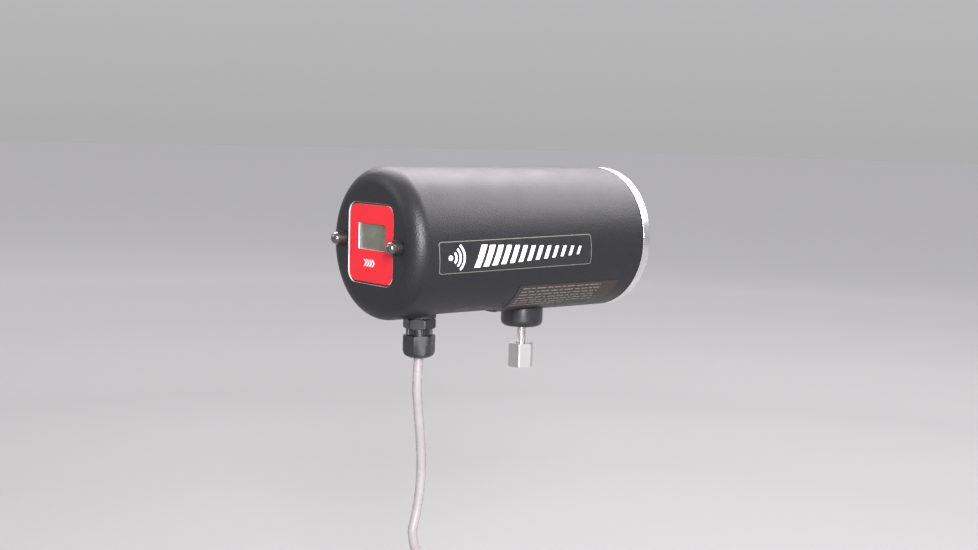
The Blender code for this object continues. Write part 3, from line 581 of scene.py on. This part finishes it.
def make_cable():
    route = cable_route()
    curve = bpy.data.curves.new("power_cable", "CURVE")
    curve.dimensions = "3D"
    curve.bevel_depth = CABLE_RADIUS
    curve.bevel_resolution = 5
    curve.use_fill_caps = True
    spline = curve.splines.new("NURBS")
    spline.points.add(len(route) - 1)
    for point, place in zip(spline.points, route):
        point.co = (*place, 1)
    spline.order_u = 4
    spline.use_endpoint_u = True
    spline.resolution_u = 3
    cable = bpy.data.objects.new("power_cable", curve)
    replaced = ("power_cable_lead", "power_cable_coil", "power_cable_tail")
    return link_piece(cable, RADAR, "cable_jacket", replaces=replaced)


def make_ties():
    """Hook-and-loop straps round the coil, with a lapped end on the outside."""
    made = []
    strap = 0.0011
    width = 0.0080
    inner = COIL_RADIUS - TURN_SPACING - CABLE_RADIUS - 0.0007
    outer = COIL_RADIUS + TURN_SPACING + CABLE_RADIUS + 0.0003
    window = (outer - inner, 2 * (TURN_SPACING + CABLE_RADIUS + 0.0003))
    for name, degrees in (("cable_tie_upper", 150), ("cable_tie_lower", 270)):
        angle = math.radians(degrees)
        outward = Vector((math.cos(angle), 0, math.sin(angle)))
        centre = Vector((COIL.x, 0, COIL.z)) + outward * (inner + outer) / 2
        outline = rounded_rectangle(window[0] + 2 * strap, window[1] + 2 * strap, 0.0035)
        outside = prism(f"{name}_strap", outline, -width / 2, width / 2)
        inside = prism(f"{name}_window", rounded_rectangle(*window, 0.0026), -width, width)
        combine(outside, inside, "DIFFERENCE")
        place = (window[0] / 2 + strap + 0.0002, 0.0010, 0)
        lap = box_shape(f"{name}_lap", (0.0008, 0.0120, width * 0.96), place, edge=0.0003)
        combine(outside, lap, "UNION")
        outside.matrix_world = Matrix.Translation(centre) @ Matrix.Rotation(-angle, 4, "Y")
        made.append(link_piece(outside, RADAR, "cable_tie_black", replaces=(name,)))
    return made


def make_plug():
    """A 12 volt accessory plug: ribbed strain relief, waisted body, nose, spring contacts and tip."""
    made = []
    at = Vector((middle("plug_body").x, PLUG_Y, high("plug_strain_relief").z))
    ribs = []
    for rib in range(5):
        along = -0.0025 - 0.0031 * rib
        radius = 0.0043 + 0.00031 * rib
        ribs += [
            (radius + 0.0004, along, 0.0003),
            (radius + 0.0005, along - 0.0018, 0.0003),
            (radius - 0.0006, along - 0.0020, 0.0002),
            (radius - 0.0005, along - 0.0029, 0.0002),
        ]
    profile = [(0.0, 0.0, 0), (0.0040, 0.0, 0.0005), (0.0040, -0.0022, 0.0002), *ribs]
    profile += [(0.0062, -0.0180, 0.0006), (0.0075, -0.0200, 0), (0.0, -0.0200, 0)]
    relief = lathe("plug_relief_ribbed", softened(profile, 3), at)
    link_piece(relief, RADAR, "rubber_black", replaces=("plug_strain_relief",))
    body_profile = [
        (0.0, -0.0203, 0),
        (0.0085, -0.0203, 0.0008),
        (0.0104, -0.0230, 0.0010),
        (0.0108, -0.0300, 0.002),
        (0.0098, -0.0340, 0.002),
        (0.0098, -0.0440, 0.002),
        (0.0108, -0.0480, 0.002),
        (0.0104, -0.0560, 0.001),
        (0.0096, -0.0580, 0.0006),
        (0.0, -0.0580, 0),
    ]
    body = lathe("plug_body_moulded", softened(body_profile), at, steps=96)
    ridges = 18
    for ridge in range(ridges):
        angle = 2 * math.pi * ridge / ridges
        place = at + Vector((0.0099 * math.cos(angle), 0.0099 * math.sin(angle), -0.0390))
        grip = box_shape(f"ridge_{ridge}", (0.0010, 0.0012, 0.0100), place, (0, 0, angle), 0.0004)
        combine(body, grip, "UNION")
    link_piece(body, RADAR, "trim_black", replaces=("plug_body",))
    nose_profile = [
        (0.0, -0.0583, 0),
        (0.0085, -0.0583, 0.0004),
        (0.0085, -0.0725, 0.0010),
        (0.0074, -0.0745, 0.0010),
        (0.0060, -0.0780, 0.0008),
        (0.0, -0.0780, 0),
    ]
    nose = lathe("plug_nose_moulded", softened(nose_profile), at, steps=96)
    for side in (1, -1):
        place = at + Vector((side * 0.0095, 0, -0.0665))
        notch = box_shape(f"nose_slot_{side}", (0.006, 0.0036, 0.0126), place)
        combine(nose, notch, "DIFFERENCE")
    link_piece(nose, RADAR, "trim_black", replaces=("plug_nose",))
    for side, name in ((1, "plug_side_contact_front"), (-1, "plug_side_contact_rear")):

        def bowed(u, v, side=side):
            bow = 0.0011 * math.sin(math.pi * v)
            return at + Vector((side * (0.0077 + bow), (u - 0.5) * 0.0028, -0.0608 - 0.0114 * v))

        leaf = patches(name + "_leaf", [(4, 12, bowed)], 0.0005)
        made.append(link_piece(leaf, RADAR, "zinc_steel", replaces=(name,)))
    tip_profile = [
        (0.0, -0.0783, 0),
        (0.0030, -0.0783, 0.0002),
        (0.0030, -0.0815, 0.0008),
        (0.0018, -0.0830, 0.0008),
        (0.0, -0.0830, 0),
    ]
    tip = lathe("plug_tip_pin", softened(tip_profile), at, steps=40)
    link_piece(tip, RADAR, "zinc_steel", replaces=("plug_tip_contact",))
    return [relief, body, nose, tip, *made]


# ---------------------------------------------------------------- housing


def arc(centre, radius, start, end, steps):
    angles = (math.radians(start + (end - start) * step / steps) for step in range(steps + 1))
    return [(centre[0] + radius * math.cos(a), centre[1] + radius * math.sin(a)) for a in angles]


COVER_MIDDLE = 0.0625
COVER_HALF_LENGTH = 0.0350
COVER_HALF_WIDTH = 0.0278
POCKET_DEPTH = 0.0018
POCKET_MARGIN = 0.0012
PANEL_CORNER = 0.0065


def make_housing():
    """The grained tube with its rounded back and its openings."""
    flat_radius = BODY_RADIUS - REAR_FILLET
    front = SHELL_HIGH.x - SHELL_LOW.x
    outside = [(0, 0), *arc((flat_radius, REAR_FILLET), REAR_FILLET, -90, 0, 20)]
    outside += [(BODY_RADIUS, front * share) for share in (0.3, 0.5, 0.7, 0.9)]
    outside += [(BODY_RADIUS, front - 0.0005), (BODY_RADIUS - 0.0005, front)]
    inside = [(BODY_RADIUS - WALL, front), (BODY_RADIUS - WALL, REAR_FILLET)]
    inside += arc((flat_radius, REAR_FILLET), REAR_FILLET - WALL, 0, -90, 8)[1:]
    inside += [(0, WALL)]
    shell = lathe("housing_grained", outside + inside, AXIS, ABOUT_X, FINE_STEPS)
    window_low, window_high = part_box("display_window")
    window_size = window_high - window_low
    opening_size = (0.02, window_size.y + 0.0008, window_size.z + 0.0008)
    opening = box_shape("window_opening", opening_size, middle("display_window"))
    combine(shell, opening, "DIFFERENCE")
    panel_low, panel_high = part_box("display_bezel")
    width = panel_high.y - panel_low.y + 2 * POCKET_MARGIN
    height = panel_high.z - panel_low.z + 2 * POCKET_MARGIN
    outline = rounded_rectangle(height, width, PANEL_CORNER + POCKET_MARGIN, 10)
    pocket = prism("panel_pocket", outline, -0.01, POCKET_DEPTH, AXIS, ABOUT_X)
    combine(shell, pocket, "DIFFERENCE")
    # A thin liner on the pocket's wall, painted pale grey over the black case: a painted highlight along
    # the pocket's edge
    liner = prism("panel_pocket_edge", outline, 0.00005, POCKET_DEPTH * 0.6, AXIS, ABOUT_X)
    skin = 0.0001
    inner = rounded_rectangle(
        height - 2 * skin, width - 2 * skin, PANEL_CORNER + POCKET_MARGIN - skin, 10
    )
    combine(liner, prism("liner_inside", inner, -0.01, 0.01, AXIS, ABOUT_X), "DIFFERENCE")
    link_piece(liner, RADAR, "case_black", "pocket_edge")
    for name in ("left_button_bushing", "right_button_bushing"):
        centre = middle(name)
        rod = [(0, -0.02), (0.0040, -0.02), (0.0040, 0.02), (0, 0.02)]
        hole = lathe(f"{name}_hole", rod, (AXIS.x, centre.y, centre.z), ABOUT_X)
        combine(shell, hole, "DIFFERENCE")
    outline = oval(COVER_HALF_LENGTH, COVER_HALF_WIDTH)
    cut = prism("cover_opening", outline, -0.060, -0.020, body_point(COVER_MIDDLE, 0, 0))
    combine(shell, cut, "DIFFERENCE")
    link_piece(shell, RADAR, "case_black", replaces=("housing_shell",))


def make_cover():
    """The smooth oval cover, dished a little below the body's surface, and the rounded lip round it."""
    floor = BODY_RADIUS - COVER_DEPTH

    def surface(u, v):
        angle = 2 * math.pi * u
        along = COVER_MIDDLE + (COVER_HALF_LENGTH - 0.0002) * v * math.cos(angle)
        across = (COVER_HALF_WIDTH - 0.0002) * v * math.sin(angle)
        rise = 0.0007 * max(0.0, (v - 0.9) / 0.1) ** 2
        radius = floor - 0.0006 + rise
        return body_point(along, across, -math.sqrt(radius**2 - across**2))

    cover = patches("cover_plate_smooth", [(96, 24, surface)], 0.0012)
    link_piece(cover, RADAR, "cover_grey", replaces=("underside_cover",))
    curve = bpy.data.curves.new("cover_lip", "CURVE")
    curve.dimensions = "3D"
    curve.bevel_depth = 0.0006
    curve.bevel_resolution = 4
    spline = curve.splines.new("POLY")
    steps = 120
    spline.points.add(steps - 1)
    radius = BODY_RADIUS - 0.0005
    for point, (along, across) in zip(
        spline.points, oval(COVER_HALF_LENGTH + 0.0001, COVER_HALF_WIDTH + 0.0001, steps)
    ):
        below = -math.sqrt(radius**2 - across**2)
        point.co = (*body_point(COVER_MIDDLE + along, across, below), 1)
    spline.use_cyclic_u = True
    link_piece(bpy.data.objects.new("cover_lip", curve), RADAR, "cover_grey")


def make_front_ring():
    """Polished ring with a rounded outer edge and a fine groove, the lens and its raised rim."""
    length = 0.0067
    front = high("front_ring").x - AXIS.x
    back = front - length
    lip_radius = 0.0415
    profile = [
        (0.0434, back - 0.0083, 0),
        (0.0457, back - 0.0083, 0.0003),
        (0.0457, back, 0),
        (BODY_RADIUS - 0.0001, back, 0.0002),
        (BODY_RADIUS, back + 0.0004, 0.0002),
        (BODY_RADIUS, front, 0.0011),
        (0.0448, front, 0.0004),
        (0.0444, front - 0.0004, 0.0002),
        (0.0440, front - 0.0004, 0.0002),
        (0.0436, front, 0.0004),
        (lip_radius, front, 0.0008),
        (lip_radius, front - 0.0016, 0.0002),
        (0.0434, front - 0.0016, 0),
    ]
    ring = lathe("front_ring_polished", softened(profile, 5), AXIS, ABOUT_X, FINE_STEPS, ring=True)
    link_piece(ring, RADAR, "aluminium_bright", replaces=("front_ring",))
    lens_low, lens_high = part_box("radome_lens")
    lens_back = lens_low.x - AXIS.x
    lens_front = lens_high.x - AXIS.x
    crown = [
        (0.0400 * (1 - step / 12), lens_front - 0.0012 + 0.0012 * (1 - (1 - step / 12) ** 2))
        for step in range(13)
    ]
    profile = [(0, lens_back), (0.0432, lens_back), (0.0432, lens_front - 0.0014)]
    rim = ((0.0412, 0.0013), (0.0406, 0.0016), (0.0403, 0.0014))
    profile += [(radius, lens_front - depth) for radius, depth in rim]
    lens = lathe("radome_lens_crowned", profile + crown, AXIS, ABOUT_X, FINE_STEPS)
    link_piece(lens, RADAR, "radome_black", replaces=("radome_lens",))


# ---------------------------------------------------------------- display and buttons


def make_display():
    """A pale moulded panel with a red printed face, the window and the liquid crystal cell."""
    panel_low, panel_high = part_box("display_bezel")
    window_low, window_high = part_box("display_window")
    width = panel_high.y - panel_low.y
    height = panel_high.z - panel_low.z
    centre = (panel_low + panel_high) / 2
    opening_width = window_high.y - window_low.y - 0.0022
    opening_height = window_high.z - window_low.z - 0.0022
    window_centre = (window_low + window_high) / 2
    thickness = panel_high.x - panel_low.x
    print_thickness = 0.00022

    def slab(name, start, end, material, replaces=()):
        made = prism(name, rounded_rectangle(height, width, PANEL_CORNER, 10), start, end, centre, ABOUT_X)
        hole = prism(
            f"{name}_hole",
            rounded_rectangle(opening_height, opening_width, 0.0006, 4),
            start - 0.002,
            end + 0.002,
            (centre.x, window_centre.y, window_centre.z),
            ABOUT_X,
        )
        combine(made, hole, "DIFFERENCE")
        return link_piece(made, RADAR, "panel_red", material, replaces)

    back = thickness / 2
    slab("panel_backing", print_thickness - back, back, "panel_edge", ("display_bezel",))
    slab("panel_print", -back, print_thickness - back - 0.00002, "panel_red")

    def sheet(name, gap, depth, edge):
        """A pane this far behind the panel, a little larger than its opening."""
        size = (depth, opening_width + 0.0012, opening_height + 0.0012)
        place = Vector((panel_high.x + gap + depth / 2, window_centre.y, window_centre.z))
        return box_shape(name, size, place, edge=edge, segments=2)

    pane = sheet("display_pane", 0.0001, 0.0003, 0.00005)
    link_piece(pane, RADAR, "window_clear", replaces=("display_window",))
    link_piece(sheet("lcd_cell", 0.0005, 0.0010, 0.0001), RADAR, "lcd_grey")
    face = panel_low.x - 0.00004

    def chevron(start, drop):
        def place(u, v):
            across = start - 0.0024 * abs(2 * v - 1) - 0.0013 * u
            return Vector((face, centre.y - across, centre.z + drop + 0.0046 * (0.5 - v)))

        return place

    marks = [(1, 8, chevron(-0.0042 + 0.0030 * k, -0.0124)) for k in range(4)]
    arrows = patches("panel_mark", marks, 0.00005)
    link_piece(arrows, RADAR, "panel_red", "label_white")


def make_button(name):
    """A glossy domed cap and the bushing it slides in."""
    cap_low, cap_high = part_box(f"{name}_button_cap")
    bushing_low, bushing_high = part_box(f"{name}_button_bushing")
    cap_middle = middle(f"{name}_button_cap")
    centre = Vector((AXIS.x, cap_middle.y, cap_middle.z))
    radius = (cap_high.z - cap_low.z) / 2
    tip = cap_low.x - AXIS.x
    skirt_end = -0.0028
    stem_radius = 0.0021
    stem_end = cap_high.x - AXIS.x
    profile = [
        (0, tip),
        *arc((0, tip + radius), radius, -90, 0, 16)[1:],
        (radius, skirt_end - 0.0002),
        (radius - 0.0002, skirt_end),
        (stem_radius, skirt_end),
        (stem_radius, stem_end),
        (0, stem_end),
    ]
    cap = lathe(f"{name}_button_dome", profile, centre, ABOUT_X)
    link_piece(cap, f"{name}_button", "button_gloss", replaces=(f"{name}_button_cap",))
    rim = bushing_low.x - AXIS.x
    outer = (bushing_high.z - bushing_low.z) / 2
    bore = radius + 0.00035
    profile = [
        (bore, rim, 0.0001),
        (outer - 0.0001, rim, 0.0003),
        (outer, -0.0002, 0),
        (0.0037, -0.0002, 0),
        (0.0037, bushing_high.x - AXIS.x, 0),
        (0.0025, bushing_high.x - AXIS.x, 0),
        (0.0025, -0.0010, 0),
        (bore, -0.0010, 0),
    ]
    bushing = lathe(f"{name}_button_collar", softened(profile), centre, ABOUT_X, ring=True)
    link_piece(bushing, RADAR, "trim_black", replaces=(f"{name}_button_bushing",))


# ---------------------------------------------------------------- gland and mount


def body_cylinder(name, radius):
    """A cylinder on the tube's axis, to cut the round foot of what stands on the tube."""
    length = 0.2
    return lathe(name, [(0, 0), (radius, 0), (radius, length), (0, length)], AXIS, ABOUT_X, FINE_STEPS)


def make_gland():
    """The gland's hexagonal body, its ribbed collar, the compression nut with its rounded end."""
    at = Vector((GLAND.x, GLAND.y, AXIS.z))
    body_turn = math.radians(46)
    nut_turn = math.radians(4)
    flats = 0.0190
    corner = flats / math.sqrt(3)
    # Heights from the tube's axis
    top = high("gland_body").z - AXIS.z
    bottom = low("gland_body").z - AXIS.z
    nut_top = high("gland_compression_nut").z - AXIS.z
    mouth = low("gland_compression_nut").z - AXIS.z
    collar_bottom = -0.0602
    collar_top = -0.0561
    hex_top = -0.0495
    bore = CABLE_RADIUS + 0.0005
    profile = [
        (bore, top, 0),
        (0.0076, top, 0.0004),
        (0.0076, hex_top, 0),
        (0.0095, hex_top, 0.0002),
        (corner, hex_top - 0.0009, 0.0002),
        (corner, collar_top + 0.0008, 0.0002),
        (0.0096, collar_top, 0.0002),
        (0.0080, collar_top, 0),
        (0.0080, collar_bottom, 0),
        (0.0074, collar_bottom, 0),
        (0.0074, bottom, 0),
        (bore, bottom, 0),
    ]
    body = lathe("gland_hexagon", softened(profile, 3), at, ring=True)
    hexagon = prism("hexagon_body", hexagon_outline(flats, 0.0008, body_turn), -0.08, -0.02, at)
    combine(body, hexagon, "INTERSECT")
    link_piece(body, RADAR, "trim_black", replaces=("gland_body",))
    teeth = 30
    outline = []
    for tooth in range(teeth):
        for share, radius in ((0.1, 0.0081), (0.3, 0.0087), (0.7, 0.0087), (0.9, 0.0081)):
            angle = 2 * math.pi * (tooth + share) / teeth
            outline.append((radius * math.cos(angle), radius * math.sin(angle)))
    collar = prism("gland_collar_ribs", outline, collar_bottom + 0.0002, collar_top - 0.0002, at)
    hole = lathe("collar_hole", [(0, -0.1), (0.0078, -0.1), (0.0078, 0), (0, 0)], at)
    combine(collar, hole, "DIFFERENCE")
    link_piece(collar, RADAR, "trim_black")
    profile = [
        (0.0078, nut_top, 0),
        (0.0098, nut_top, 0.0003),
        (corner, nut_top - 0.0008, 0.0003),
        (corner, mouth + 0.0048, 0.0016),
        (corner - 0.0015, mouth + 0.0015, 0.0012),
        (corner - 0.0044, mouth, 0.0010),
        (bore + 0.0006, mouth, 0.0004),
        (bore, mouth + 0.0008, 0),
        (bore, nut_top, 0),
    ]
    nut = lathe("gland_nut_rounded", softened(profile, 5), at, ring=True)
    hexagon = prism("hexagon_nut", hexagon_outline(flats, 0.0010, nut_turn), -0.09, -0.04, at)
    combine(nut, hexagon, "INTERSECT")
    link_piece(nut, RADAR, "trim_black", replaces=("gland_compression_nut",))
    inner, outer, lower, upper = 0.0079, 0.0108, -0.0492, -0.0440
    profile = [(inner, lower, 0), (outer, lower, 0.0004), (outer, upper, 0), (inner, upper, 0)]
    washer = lathe("gland_washer_soft", softened(profile), at, ring=True)
    inside = body_cylinder("cover_surface", BODY_RADIUS - COVER_DEPTH + 0.0001)
    combine(washer, inside, "DIFFERENCE")
    link_piece(washer, RADAR, "rubber_black", replaces=("gland_saddle_washer",))


def thread_rows(core, crest, pitch, start, turns, steps=24):
    """The points of a thread's surface, in a row across it at each step along its helix."""
    section = ((0.0, core), (0.12, core), (0.44, crest), (0.56, crest), (0.88, core), (1.0, core))
    rows = []
    for index in range(turns * steps + 1):
        turn = index / steps
        x, y = math.cos(2 * math.pi * turn), math.sin(2 * math.pi * turn)
        rows.append(
            [
                Vector((radius * x, radius * y, start + pitch * (turn + share)))
                for share, radius in section
            ]
        )
    return rows


def make_mount():
    """The boss, the stud with its thread, and the coupling nut."""
    boss_low, boss_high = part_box("mount_boss")
    radius = (boss_high.x - boss_low.x) / 2
    hole = 0.0033
    profile = [
        (hole, boss_low.z + 0.0006, 0),
        (0.0050, boss_low.z, 0.0004),
        (radius, boss_low.z, 0.0048),
        (radius, boss_high.z + 0.002, 0),
        (hole, boss_high.z + 0.002, 0),
    ]
    boss = lathe("mount_boss_moulded", softened(profile, 6), steps=96, ring=True)
    body = body_cylinder("body_surface", BODY_RADIUS + 0.0001)
    combine(boss, body, "DIFFERENCE")
    link_piece(boss, RADAR, "trim_black", replaces=("mount_boss",))
    stud_low, stud_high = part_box("mounting_stud")
    core, crest, pitch = 0.00262, 0.003175, 0.00127
    turns = math.floor((stud_high.z - stud_low.z - 0.001) / pitch)
    bm = bmesh.new()
    rows = thread_rows(core, crest, pitch, stud_low.z, turns)
    grid = [[bm.verts.new(point) for point in row] for row in rows]
    for first, second in zip(grid, grid[1:]):
        for index in range(len(first) - 1):
            bm.faces.new((first[index], second[index], second[index + 1], first[index + 1]))
    bmesh.ops.remove_doubles(bm, verts=bm.verts, dist=1e-6)
    stud = helper_object("stud_thread", bm)
    rod = core + 0.00003
    profile = [
        (0, stud_low.z),
        (core - 0.0003, stud_low.z),
        (rod, stud_low.z + 0.0004),
        (rod, stud_high.z - 0.0004),
        (core - 0.0003, stud_high.z),
        (0, stud_high.z),
    ]
    core_rod = lathe("stud_core", profile, steps=32)
    link_piece(core_rod, RADAR, "zinc_steel", "stud_steel", ("mounting_stud",))
    link_piece(stud, RADAR, "zinc_steel", "stud_steel")
    nut_low, nut_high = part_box("coupling_nut")
    flats = 0.015875
    corner = flats / math.sqrt(3)
    hole = 0.0034
    profile = [
        (hole, nut_low.z + 0.0004),
        (hole + 0.0004, nut_low.z),
        (corner - 0.0006, nut_low.z),
        (corner, nut_low.z + 0.0004),
        (corner, nut_high.z - 0.0004),
        (corner - 0.0007, nut_high.z),
        (hole + 0.0004, nut_high.z),
        (hole, nut_high.z - 0.0004),
    ]
    nut = lathe("coupling_nut_chamfered", profile, steps=96, ring=True)
    outline = hexagon_outline(flats, 0.0004, math.radians(12))
    hexagon = prism("hexagon_coupling", outline, -0.01, 0.03)
    combine(nut, hexagon, "INTERSECT")
    link_piece(nut, ADAPTER, "aluminium_bright", "nut_aluminium", ("coupling_nut",))


# ---------------------------------------------------------------- labels


def side_point(along, degrees, lift):
    """A point on the body's right side, this many degrees below its widest line."""
    angle = math.radians(degrees)
    radius = BODY_RADIUS + lift
    return body_point(along, -radius * math.cos(angle), -radius * math.sin(angle))


DEGREES_PER_METRE = math.degrees(1 / BODY_RADIUS)


def label_patch(start, end, upper, lower, lift):
    """A film on the body's side."""

    def place(u, v):
        return side_point(start + (end - start) * u, upper + (lower - upper) * v, lift)

    return (24, 16, place)


BADGE = {"start": 0.0182, "end": 0.1446, "upper": -6.1, "lower": 17.9, "slant": 0.0027, "tilt": 1.1}


def badge_point(along, degrees, lift):
    """A point on the brand badge, which leans a little and rises towards the front."""
    u = (along - BADGE["start"]) / (BADGE["end"] - BADGE["start"])
    v = (degrees - BADGE["upper"]) / (BADGE["lower"] - BADGE["upper"])
    return side_point(along + BADGE["slant"] * (v - 0.5), degrees + BADGE["tilt"] * (1 - 2 * u), lift)


def badge_patch(inset, corner, lift):
    """The badge's film with round corners, this far in from its edge."""
    start, end = BADGE["start"] + inset, BADGE["end"] - inset
    upper = BADGE["upper"] + inset * DEGREES_PER_METRE
    lower = BADGE["lower"] - inset * DEGREES_PER_METRE
    height = (lower - upper) / DEGREES_PER_METRE

    def place(u, v):
        from_edge = height * min(v, 1 - v)
        short = max(0.0, corner - from_edge)
        shift = corner - math.sqrt(max(0.0, corner**2 - short**2))
        along = start + shift + (end - start - 2 * shift) * u
        return badge_point(along, upper + (lower - upper) * v, lift)

    return (24, 40, place)


def bar(start, width, slant, upper, lower, lift, point=side_point):
    """A slanted bar on a label."""

    def place(u, v):
        return point(start + width * u + slant * (1 - v), upper + (lower - upper) * v, lift)

    return (1, 12, place)


def wave(centre_along, centre_degrees, inner, outer, spread, lift):
    """A round arc on a label, open towards the front."""

    def place(u, v):
        angle = math.radians(spread * (2 * u - 1))
        radius = inner + (outer - inner) * v
        return badge_point(
            centre_along + radius * math.cos(angle),
            centre_degrees + radius * math.sin(angle) * DEGREES_PER_METRE,
            lift,
        )

    return (24, 2, place)


def make_brand_label():
    """A blank black badge with a pale edge and a plain mark: a dot, waves and speed bars."""
    film = patches("brand_badge_edge", [badge_patch(0.0, 0.0018, 0.00012)], 0.00020)
    link_piece(film, RADAR, "label_black", "label_border", ("brand_label",))
    face = patches("brand_badge", [badge_patch(0.0005, 0.0014, 0.00024)], 0.00012)
    link_piece(face, RADAR, "label_black")
    start, end = BADGE["start"], BADGE["end"]
    lift = 0.00034
    middle_degrees = (BADGE["upper"] + BADGE["lower"]) / 2
    origin = start + 0.0085
    maps = [wave(origin, middle_degrees, 0.0, 0.0017, 180, lift)]
    for ring in range(3):
        inner = 0.0036 + 0.0032 * ring
        maps.append(wave(origin, middle_degrees, inner, inner + 0.0016, 46, lift))
    bars = 13
    first = start + 0.0270
    pitch = (end - 0.0065 - first) / bars
    for index in range(bars):
        share = index / (bars - 1)
        half = 8.4 * (1 - 0.62 * share)
        width = pitch * (0.66 - 0.36 * share)
        slant = 0.0060 * (1 - 0.62 * share)
        upper, lower = middle_degrees - half, middle_degrees + half
        maps.append(bar(first + pitch * index, width, slant, upper, lower, lift, badge_point))
    mark = patches("brand_badge_mark", maps, 0.00006)
    link_piece(mark, RADAR, "label_black", "label_white")


def make_notice_label():
    """A dark label with rows of plain dashes in place of its small print."""
    low_corner, high_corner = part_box("notice_label")
    start = low_corner.x - AXIS.x
    end = high_corner.x - AXIS.x
    upper, lower = 33.4, 62.6
    film = patches("notice_film", [label_patch(start, end, upper, lower, 0.00014)], 0.00022)
    link_piece(film, RADAR, "label_brown", replaces=("notice_label",))
    rows = 7
    dash_lengths = (0.0062, 0.0035, 0.0078, 0.0048, 0.0056, 0.0030, 0.0070)
    maps = []
    for row in range(rows):
        top = upper + 2.6 + row * (lower - upper - 4.0) / rows
        along = start + 0.0035
        index = row * 3
        limit = start + (end - start) * (0.83 if row < rows - 1 else 0.55)
        while along < limit:
            length = min(dash_lengths[index % len(dash_lengths)], limit - along)
            if length > 0.001:
                maps.append(bar(along, length, 0.0, top, top + 1.15, 0.00028))
            along += length + 0.0013
            index += 1
    dashes = patches("notice_dashes", maps, 0.00005)
    link_piece(dashes, RADAR, "label_brown", "label_lines")


# ---------------------------------------------------------------- what stays CAD


def finish_inner_nodes():
    """The pieces inside keep their CAD shape and get their slot's material."""
    slots = {entry["node"]: entry["material_slot"] for entry in frame["record"]["subparts"]}
    for node, obj in frame["nodes"].items():
        obj.data.materials.clear()
        obj.data.materials.append(MATERIALS[slots[node]])
        for polygon in obj.data.polygons:
            polygon.material_index = 0


# ---------------------------------------------------------------- studio


# The floor's grey at distances in metres, paler far off, where less of the softboxes' light falls
FLOOR_FAR = 3.0
FLOOR_TONES = ((0.8, 0.19), (1.25, 0.22), (1.5, 0.27), (1.85, 0.35), (2.3, 0.47), (2.9, 0.60))


def floor_pale():
    made = Surface("floor_pale", (0.19, 0.19, 0.187), 0.95, Specular_IOR_Level=0.1)
    distance = made.node("ShaderNodeVectorMath", operation="LENGTH")
    made.link(made.coordinates, distance.inputs[0])
    ramp = made.node("ShaderNodeValToRGB")
    made.link(made.spread(distance.outputs["Value"], 0, FLOOR_FAR, 0, 1), ramp.inputs["Fac"])
    stops = ramp.color_ramp.elements
    while len(stops) < len(FLOOR_TONES):
        stops.new(0.5)
    for stop, (metres, grey) in zip(stops, FLOOR_TONES):
        stop.position = metres / FLOOR_FAR
        stop.color = (grey, grey, grey * 0.99, 1)
    made.link(ramp.outputs["Color"], made.shader.inputs["Base Color"])
    made.smudge(3, 0.93, 0.97)
    return made.material


def make_studio():
    """A plain pale floor, two softboxes overhead, and weaker lights to the right and behind."""
    floor_z = cad_box[0][2] - 0.004
    bm = bmesh.new()
    bmesh.ops.create_grid(bm, x_segments=2, y_segments=2, size=30)
    floor = helper_object("floor", bm, (0, 0, floor_z))
    floor.data.materials.append(floor_pale())
    world = bpy.data.worlds.new("studio")
    bpy.context.scene.world = world
    world.use_nodes = True
    tree = world.node_tree
    background = tree.nodes["Background"]
    place = tree.nodes.new("ShaderNodeTexCoord")
    parts = tree.nodes.new("ShaderNodeSeparateXYZ")
    ramp = tree.nodes.new("ShaderNodeValToRGB")
    tree.links.new(place.outputs["Generated"], parts.inputs["Vector"])
    tree.links.new(parts.outputs["Z"], ramp.inputs["Fac"])
    tree.links.new(ramp.outputs["Color"], background.inputs["Color"])
    ramp.color_ramp.elements[0].color = (0.535, 0.535, 0.54, 1)
    ramp.color_ramp.elements[1].position = 0.6
    ramp.color_ramp.elements[1].color = (0.95, 0.93, 0.97, 1)
    background.inputs["Strength"].default_value = 0.8
    bpy.context.scene.view_settings.view_transform = "Standard"
    lights = (
        ("overhead", (0.35, 0.75, 1.25), (0.0, 0.0, 0.10), 1.5, 1.2, 42, (1.0, 0.96, 0.99)),
        ("front_high", (1.0, -0.12, 1.20), (0.0, 0.0, 0.10), 1.3, 1.0, 35, (1.0, 0.96, 0.99)),
        ("right_high", (0.85, -0.80, 0.95), (0.0, 0.0, 0.10), 0.7, 0.8, 12, (1.0, 0.97, 1.0)),
        ("rear_key", (-0.95, -1.55, 0.52), (-0.12, -0.03, 0.09), 0.42, 1.1, 120, (0.99, 0.98, 1.0)),
        ("rear_left", (-1.0, 0.65, 0.70), (-0.12, 0.0, 0.09), 0.3, 0.5, 4, (1.0, 0.98, 0.96)),
    )
    for name, place, target, width, height, power, colour in lights:
        data = bpy.data.lights.new(name, "AREA")
        data.shape = "RECTANGLE"
        data.size = width
        data.size_y = height
        data.energy = power
        data.color = colour
        light = bpy.data.objects.new(name, data)
        light.location = place
        direction = Vector(target) - Vector(place)
        light.rotation_euler = direction.to_track_quat("-Z", "Y").to_euler()
        bpy.context.scene.collection.objects.link(light)


# ---------------------------------------------------------------- assembly

make_camera()
cable = make_cable()
ties = make_ties()
plug_pieces = make_plug()
make_housing()
make_cover()
make_front_ring()
make_display()
make_button("left")
make_button("right")
make_gland()
make_mount()
make_brand_label()
make_notice_label()
finish_inner_nodes()
make_studio()

bpy.context.view_layer.update()
